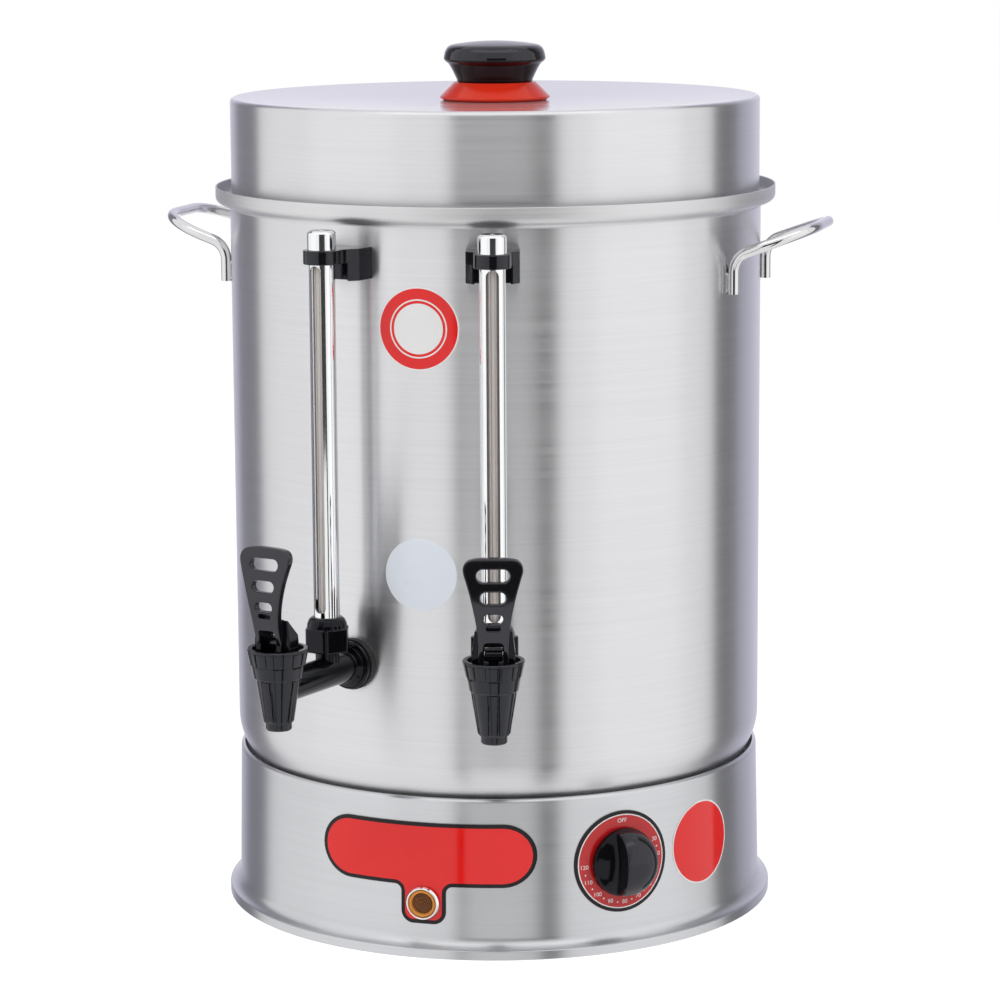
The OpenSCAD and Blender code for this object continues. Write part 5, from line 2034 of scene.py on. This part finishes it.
@dataclass
class Studio:
    """Floor, soft light, reflector cards and the camera."""

    turn: float = 16.0
    distance: float = 2.3327
    height: float = 0.6724
    pitch: float = 9.93
    yaw: float = 0.045
    roll: float = -0.331
    lens: float = 127.04
    sensor: float = 36.0
    sight: float = 200.0
    ambient: float = 0.55
    card_r: float = 3.4
    card_step: float = 3.0
    floor_half: float = 60.0
    aim: float = 0.28
    cards: tuple[Card, ...] = (
        Card("behind_camera", -14.5, 16.9, grey(0.05), grey(0.05), -0.2, 1.4),
        Card("dark_gap", 17, 25.5, grey(0.05), grey(0.05), -3.0, 1.6),
        Card("left_stand", -17.6, -14.6, grey(0.02), grey(0.02), -3.0, 1.6),
        Card("left_flag", -148, -121, grey(0.28, 1.14), grey(0.24, 1.1)),
        Card("left_fade", -165, -148.1, grey(0.75, 1.16), grey(0.45, 1.16)),
        Card("right_flag", 106, 126, grey(0.22, 1.02), grey(0.22, 1.04)),
        Card("right_fade", 126.1, 165, grey(0.42, 1.14), grey(0.78, 1.16)),
        Card("back_wall", 165.1, 194.9, (0.77, 0.76, 0.87), (0.77, 0.76, 0.87), 0.62),
        Card("left_softbox", -84, -42, grey(1.1), grey(1.1), -0.6),
        Card("right_softbox", 42, 84, grey(1.15), grey(1.15), -0.6),
        Card("overhead", -75, 75, grey(1.7), grey(1.7), 4.0, 8.5),
    )
    lamps: tuple[Lamp, ...] = (
        Lamp("key_left", -52, 42, 2.6, 1.4, 26),
        Lamp("key_right", 58, 38, 2.6, 1.4, 22),
    )

    def build(self) -> None:
        """Builds the set round the urn."""
        bpy.context.scene.view_settings.view_transform = "Standard"
        self.world()
        self.floor()
        for card in self.cards:
            self.card(card)
        for lamp in self.lamps:
            self.lamp(lamp)
        self.camera()

    def toward(self, azimuth: float, elevation: float = 0.0) -> Vector:
        """Direction from the urn.

        Args:
            azimuth: Degrees to the camera's right.
            elevation: Degrees above the floor.

        Returns:
            A vector of length 1.
        """
        a = math.radians(self.turn + azimuth)
        e = math.radians(elevation)
        return Vector((math.sin(a) * math.cos(e), -math.cos(a) * math.cos(e), math.sin(e)))

    def world(self) -> None:
        """White surroundings for the camera and reflections, softer for lighting."""
        world = bpy.data.worlds.new("studio")
        bpy.context.scene.world = world
        world.use_nodes = True
        desk = Desk(world.node_tree)
        world.node_tree.nodes.clear()
        path = desk.node("ShaderNodeLightPath").outputs
        seen = path["Is Camera Ray"]
        for ray in ("Is Glossy Ray", "Is Transmission Ray"):
            seen = desk.math("MAXIMUM", seen, path[ray])
        soft = desk.node("ShaderNodeBackground", {"Color": (1, 1, 1, 1), "Strength": self.ambient}).outputs[0]
        white = desk.node("ShaderNodeBackground", {"Color": (1, 1, 1, 1), "Strength": 1.0}).outputs[0]
        mix = desk.node("ShaderNodeMixShader", {0: seen, 1: soft, 2: white}).outputs[0]
        desk.node("ShaderNodeOutputWorld", {"Surface": mix})

    def floor(self) -> None:
        """Pale floor that keeps the urn's shadow."""
        mesh = bpy.data.meshes.new("floor")
        corners = [(x * self.floor_half, y * self.floor_half, 0) for x, y in ((-1, -1), (1, -1), (1, 1), (-1, 1))]
        mesh.from_pydata(corners, [], [(0, 1, 2, 3)])
        floor = linked("floor", mesh)
        made, desk = Desk.blank("floor_white")
        camera = desk.node("ShaderNodeLightPath").outputs["Is Camera Ray"]
        matt = desk.node("ShaderNodeBsdfDiffuse", {"Color": (0.9, 0.9, 0.9, 1)}).outputs[0]
        glow = desk.node("ShaderNodeEmission", {"Color": (1, 1, 1, 1), "Strength": 1.5}).outputs[0]
        share = desk.math("MULTIPLY", camera, 0.5)
        mix = desk.node("ShaderNodeMixShader", {0: share, 1: matt, 2: glow}).outputs[0]
        desk.node("ShaderNodeOutputMaterial", {"Surface": mix})
        mesh.materials.append(made)
        floor.visible_glossy = False

    def card(self, card: Card) -> None:
        """Stands one curved card on the set.

        Args:
            card: The card's span and colours.
        """
        steps = max(2, int((card.end - card.start) / self.card_step))
        shape = bmesh.new()
        glow = shape.verts.layers.float_vector.new("glow")
        columns = []
        for i in range(steps + 1):
            out = self.toward(card.start + (card.end - card.start) * i / steps) * self.card_r
            column = [shape.verts.new((out.x, out.y, z)) for z in (card.low, card.high)]
            for vert in column:
                vert[glow] = Vector(card.first).lerp(Vector(card.last), i / steps)
            columns.append(column)
        for a, b in zip(columns, columns[1:]):
            shape.faces.new((a[0], b[0], b[1], a[1]))
        mesh = bpy.data.meshes.new(card.name)
        shape.to_mesh(mesh)
        shape.free()
        obj = linked(card.name, mesh)
        mesh.materials.append(self.card_material())
        for ray in ("camera", "diffuse", "transmission", "volume_scatter", "shadow"):
            setattr(obj, "visible_" + ray, False)

    def card_material(self) -> bpy.types.Material:
        """Plain glow that reads its strength from the card.

        Returns:
            The material, made at its first use.
        """
        if "card_glow" in bpy.data.materials:
            return bpy.data.materials["card_glow"]
        made, desk = Desk.blank("card_glow")
        colour = desk.node("ShaderNodeAttribute", attribute_name="glow").outputs["Color"]
        glow = desk.node("ShaderNodeEmission", {"Color": colour, "Strength": 1.0}).outputs[0]
        desk.node("ShaderNodeOutputMaterial", {"Surface": glow})
        return made

    def lamp(self, lamp: Lamp) -> None:
        """Hangs a soft lamp that lights the urn and isn't seen in it.

        Args:
            lamp: The lamp's place, size and power.
        """
        light = bpy.data.lights.new(lamp.name, "AREA")
        light.size = lamp.size
        light.energy = lamp.power
        obj = linked(lamp.name, light)
        out = self.toward(lamp.azimuth, lamp.elevation)
        obj.location = Vector((0, 0, self.aim)) + out * lamp.away
        obj.rotation_euler = (-out).to_track_quat("-Z", "Y").to_euler()
        obj.visible_glossy = False

    def camera(self) -> None:
        """Sets the camera at the photograph's place."""
        data = bpy.data.cameras.new("camera")
        data.lens = self.lens
        data.sensor_width = self.sensor
        obj = linked("camera", data)
        th, yaw, roll = (math.radians(v) for v in (self.pitch, self.yaw, self.roll))
        ahead = Vector((math.sin(yaw) * math.cos(th), math.cos(yaw) * math.cos(th), -math.sin(th)))
        right = Vector((math.cos(yaw), -math.sin(yaw), 0))
        up = right.cross(ahead)
        across = right * math.cos(roll) + up * math.sin(roll)
        above = up * math.cos(roll) - right * math.sin(roll)
        turn = Matrix.Rotation(math.radians(self.turn), 3, "Z")
        axes = Matrix((turn @ across, turn @ above, turn @ -ahead)).transposed().to_4x4()
        where = turn @ Vector((0, -self.distance, self.height))
        obj.matrix_world = Matrix.Translation(where) @ axes
        data.clip_end = self.sight
        bpy.context.scene.camera = obj


def main() -> None:
    """Builds the set and the sub-assemblies in order."""
    logging.basicConfig(level=logging.INFO, format="%(message)s")
    Studio().build()
    for kind in (
        Base, Tank, Lid, Handles, Gauges, Taps, FrontPlate, SignalLamp, ThermostatDial, Stickers, CarriedOver
    ):
        LOG.info("building %s", kind.__name__)
        kind().build()


if __name__ == "__main__":
    main()
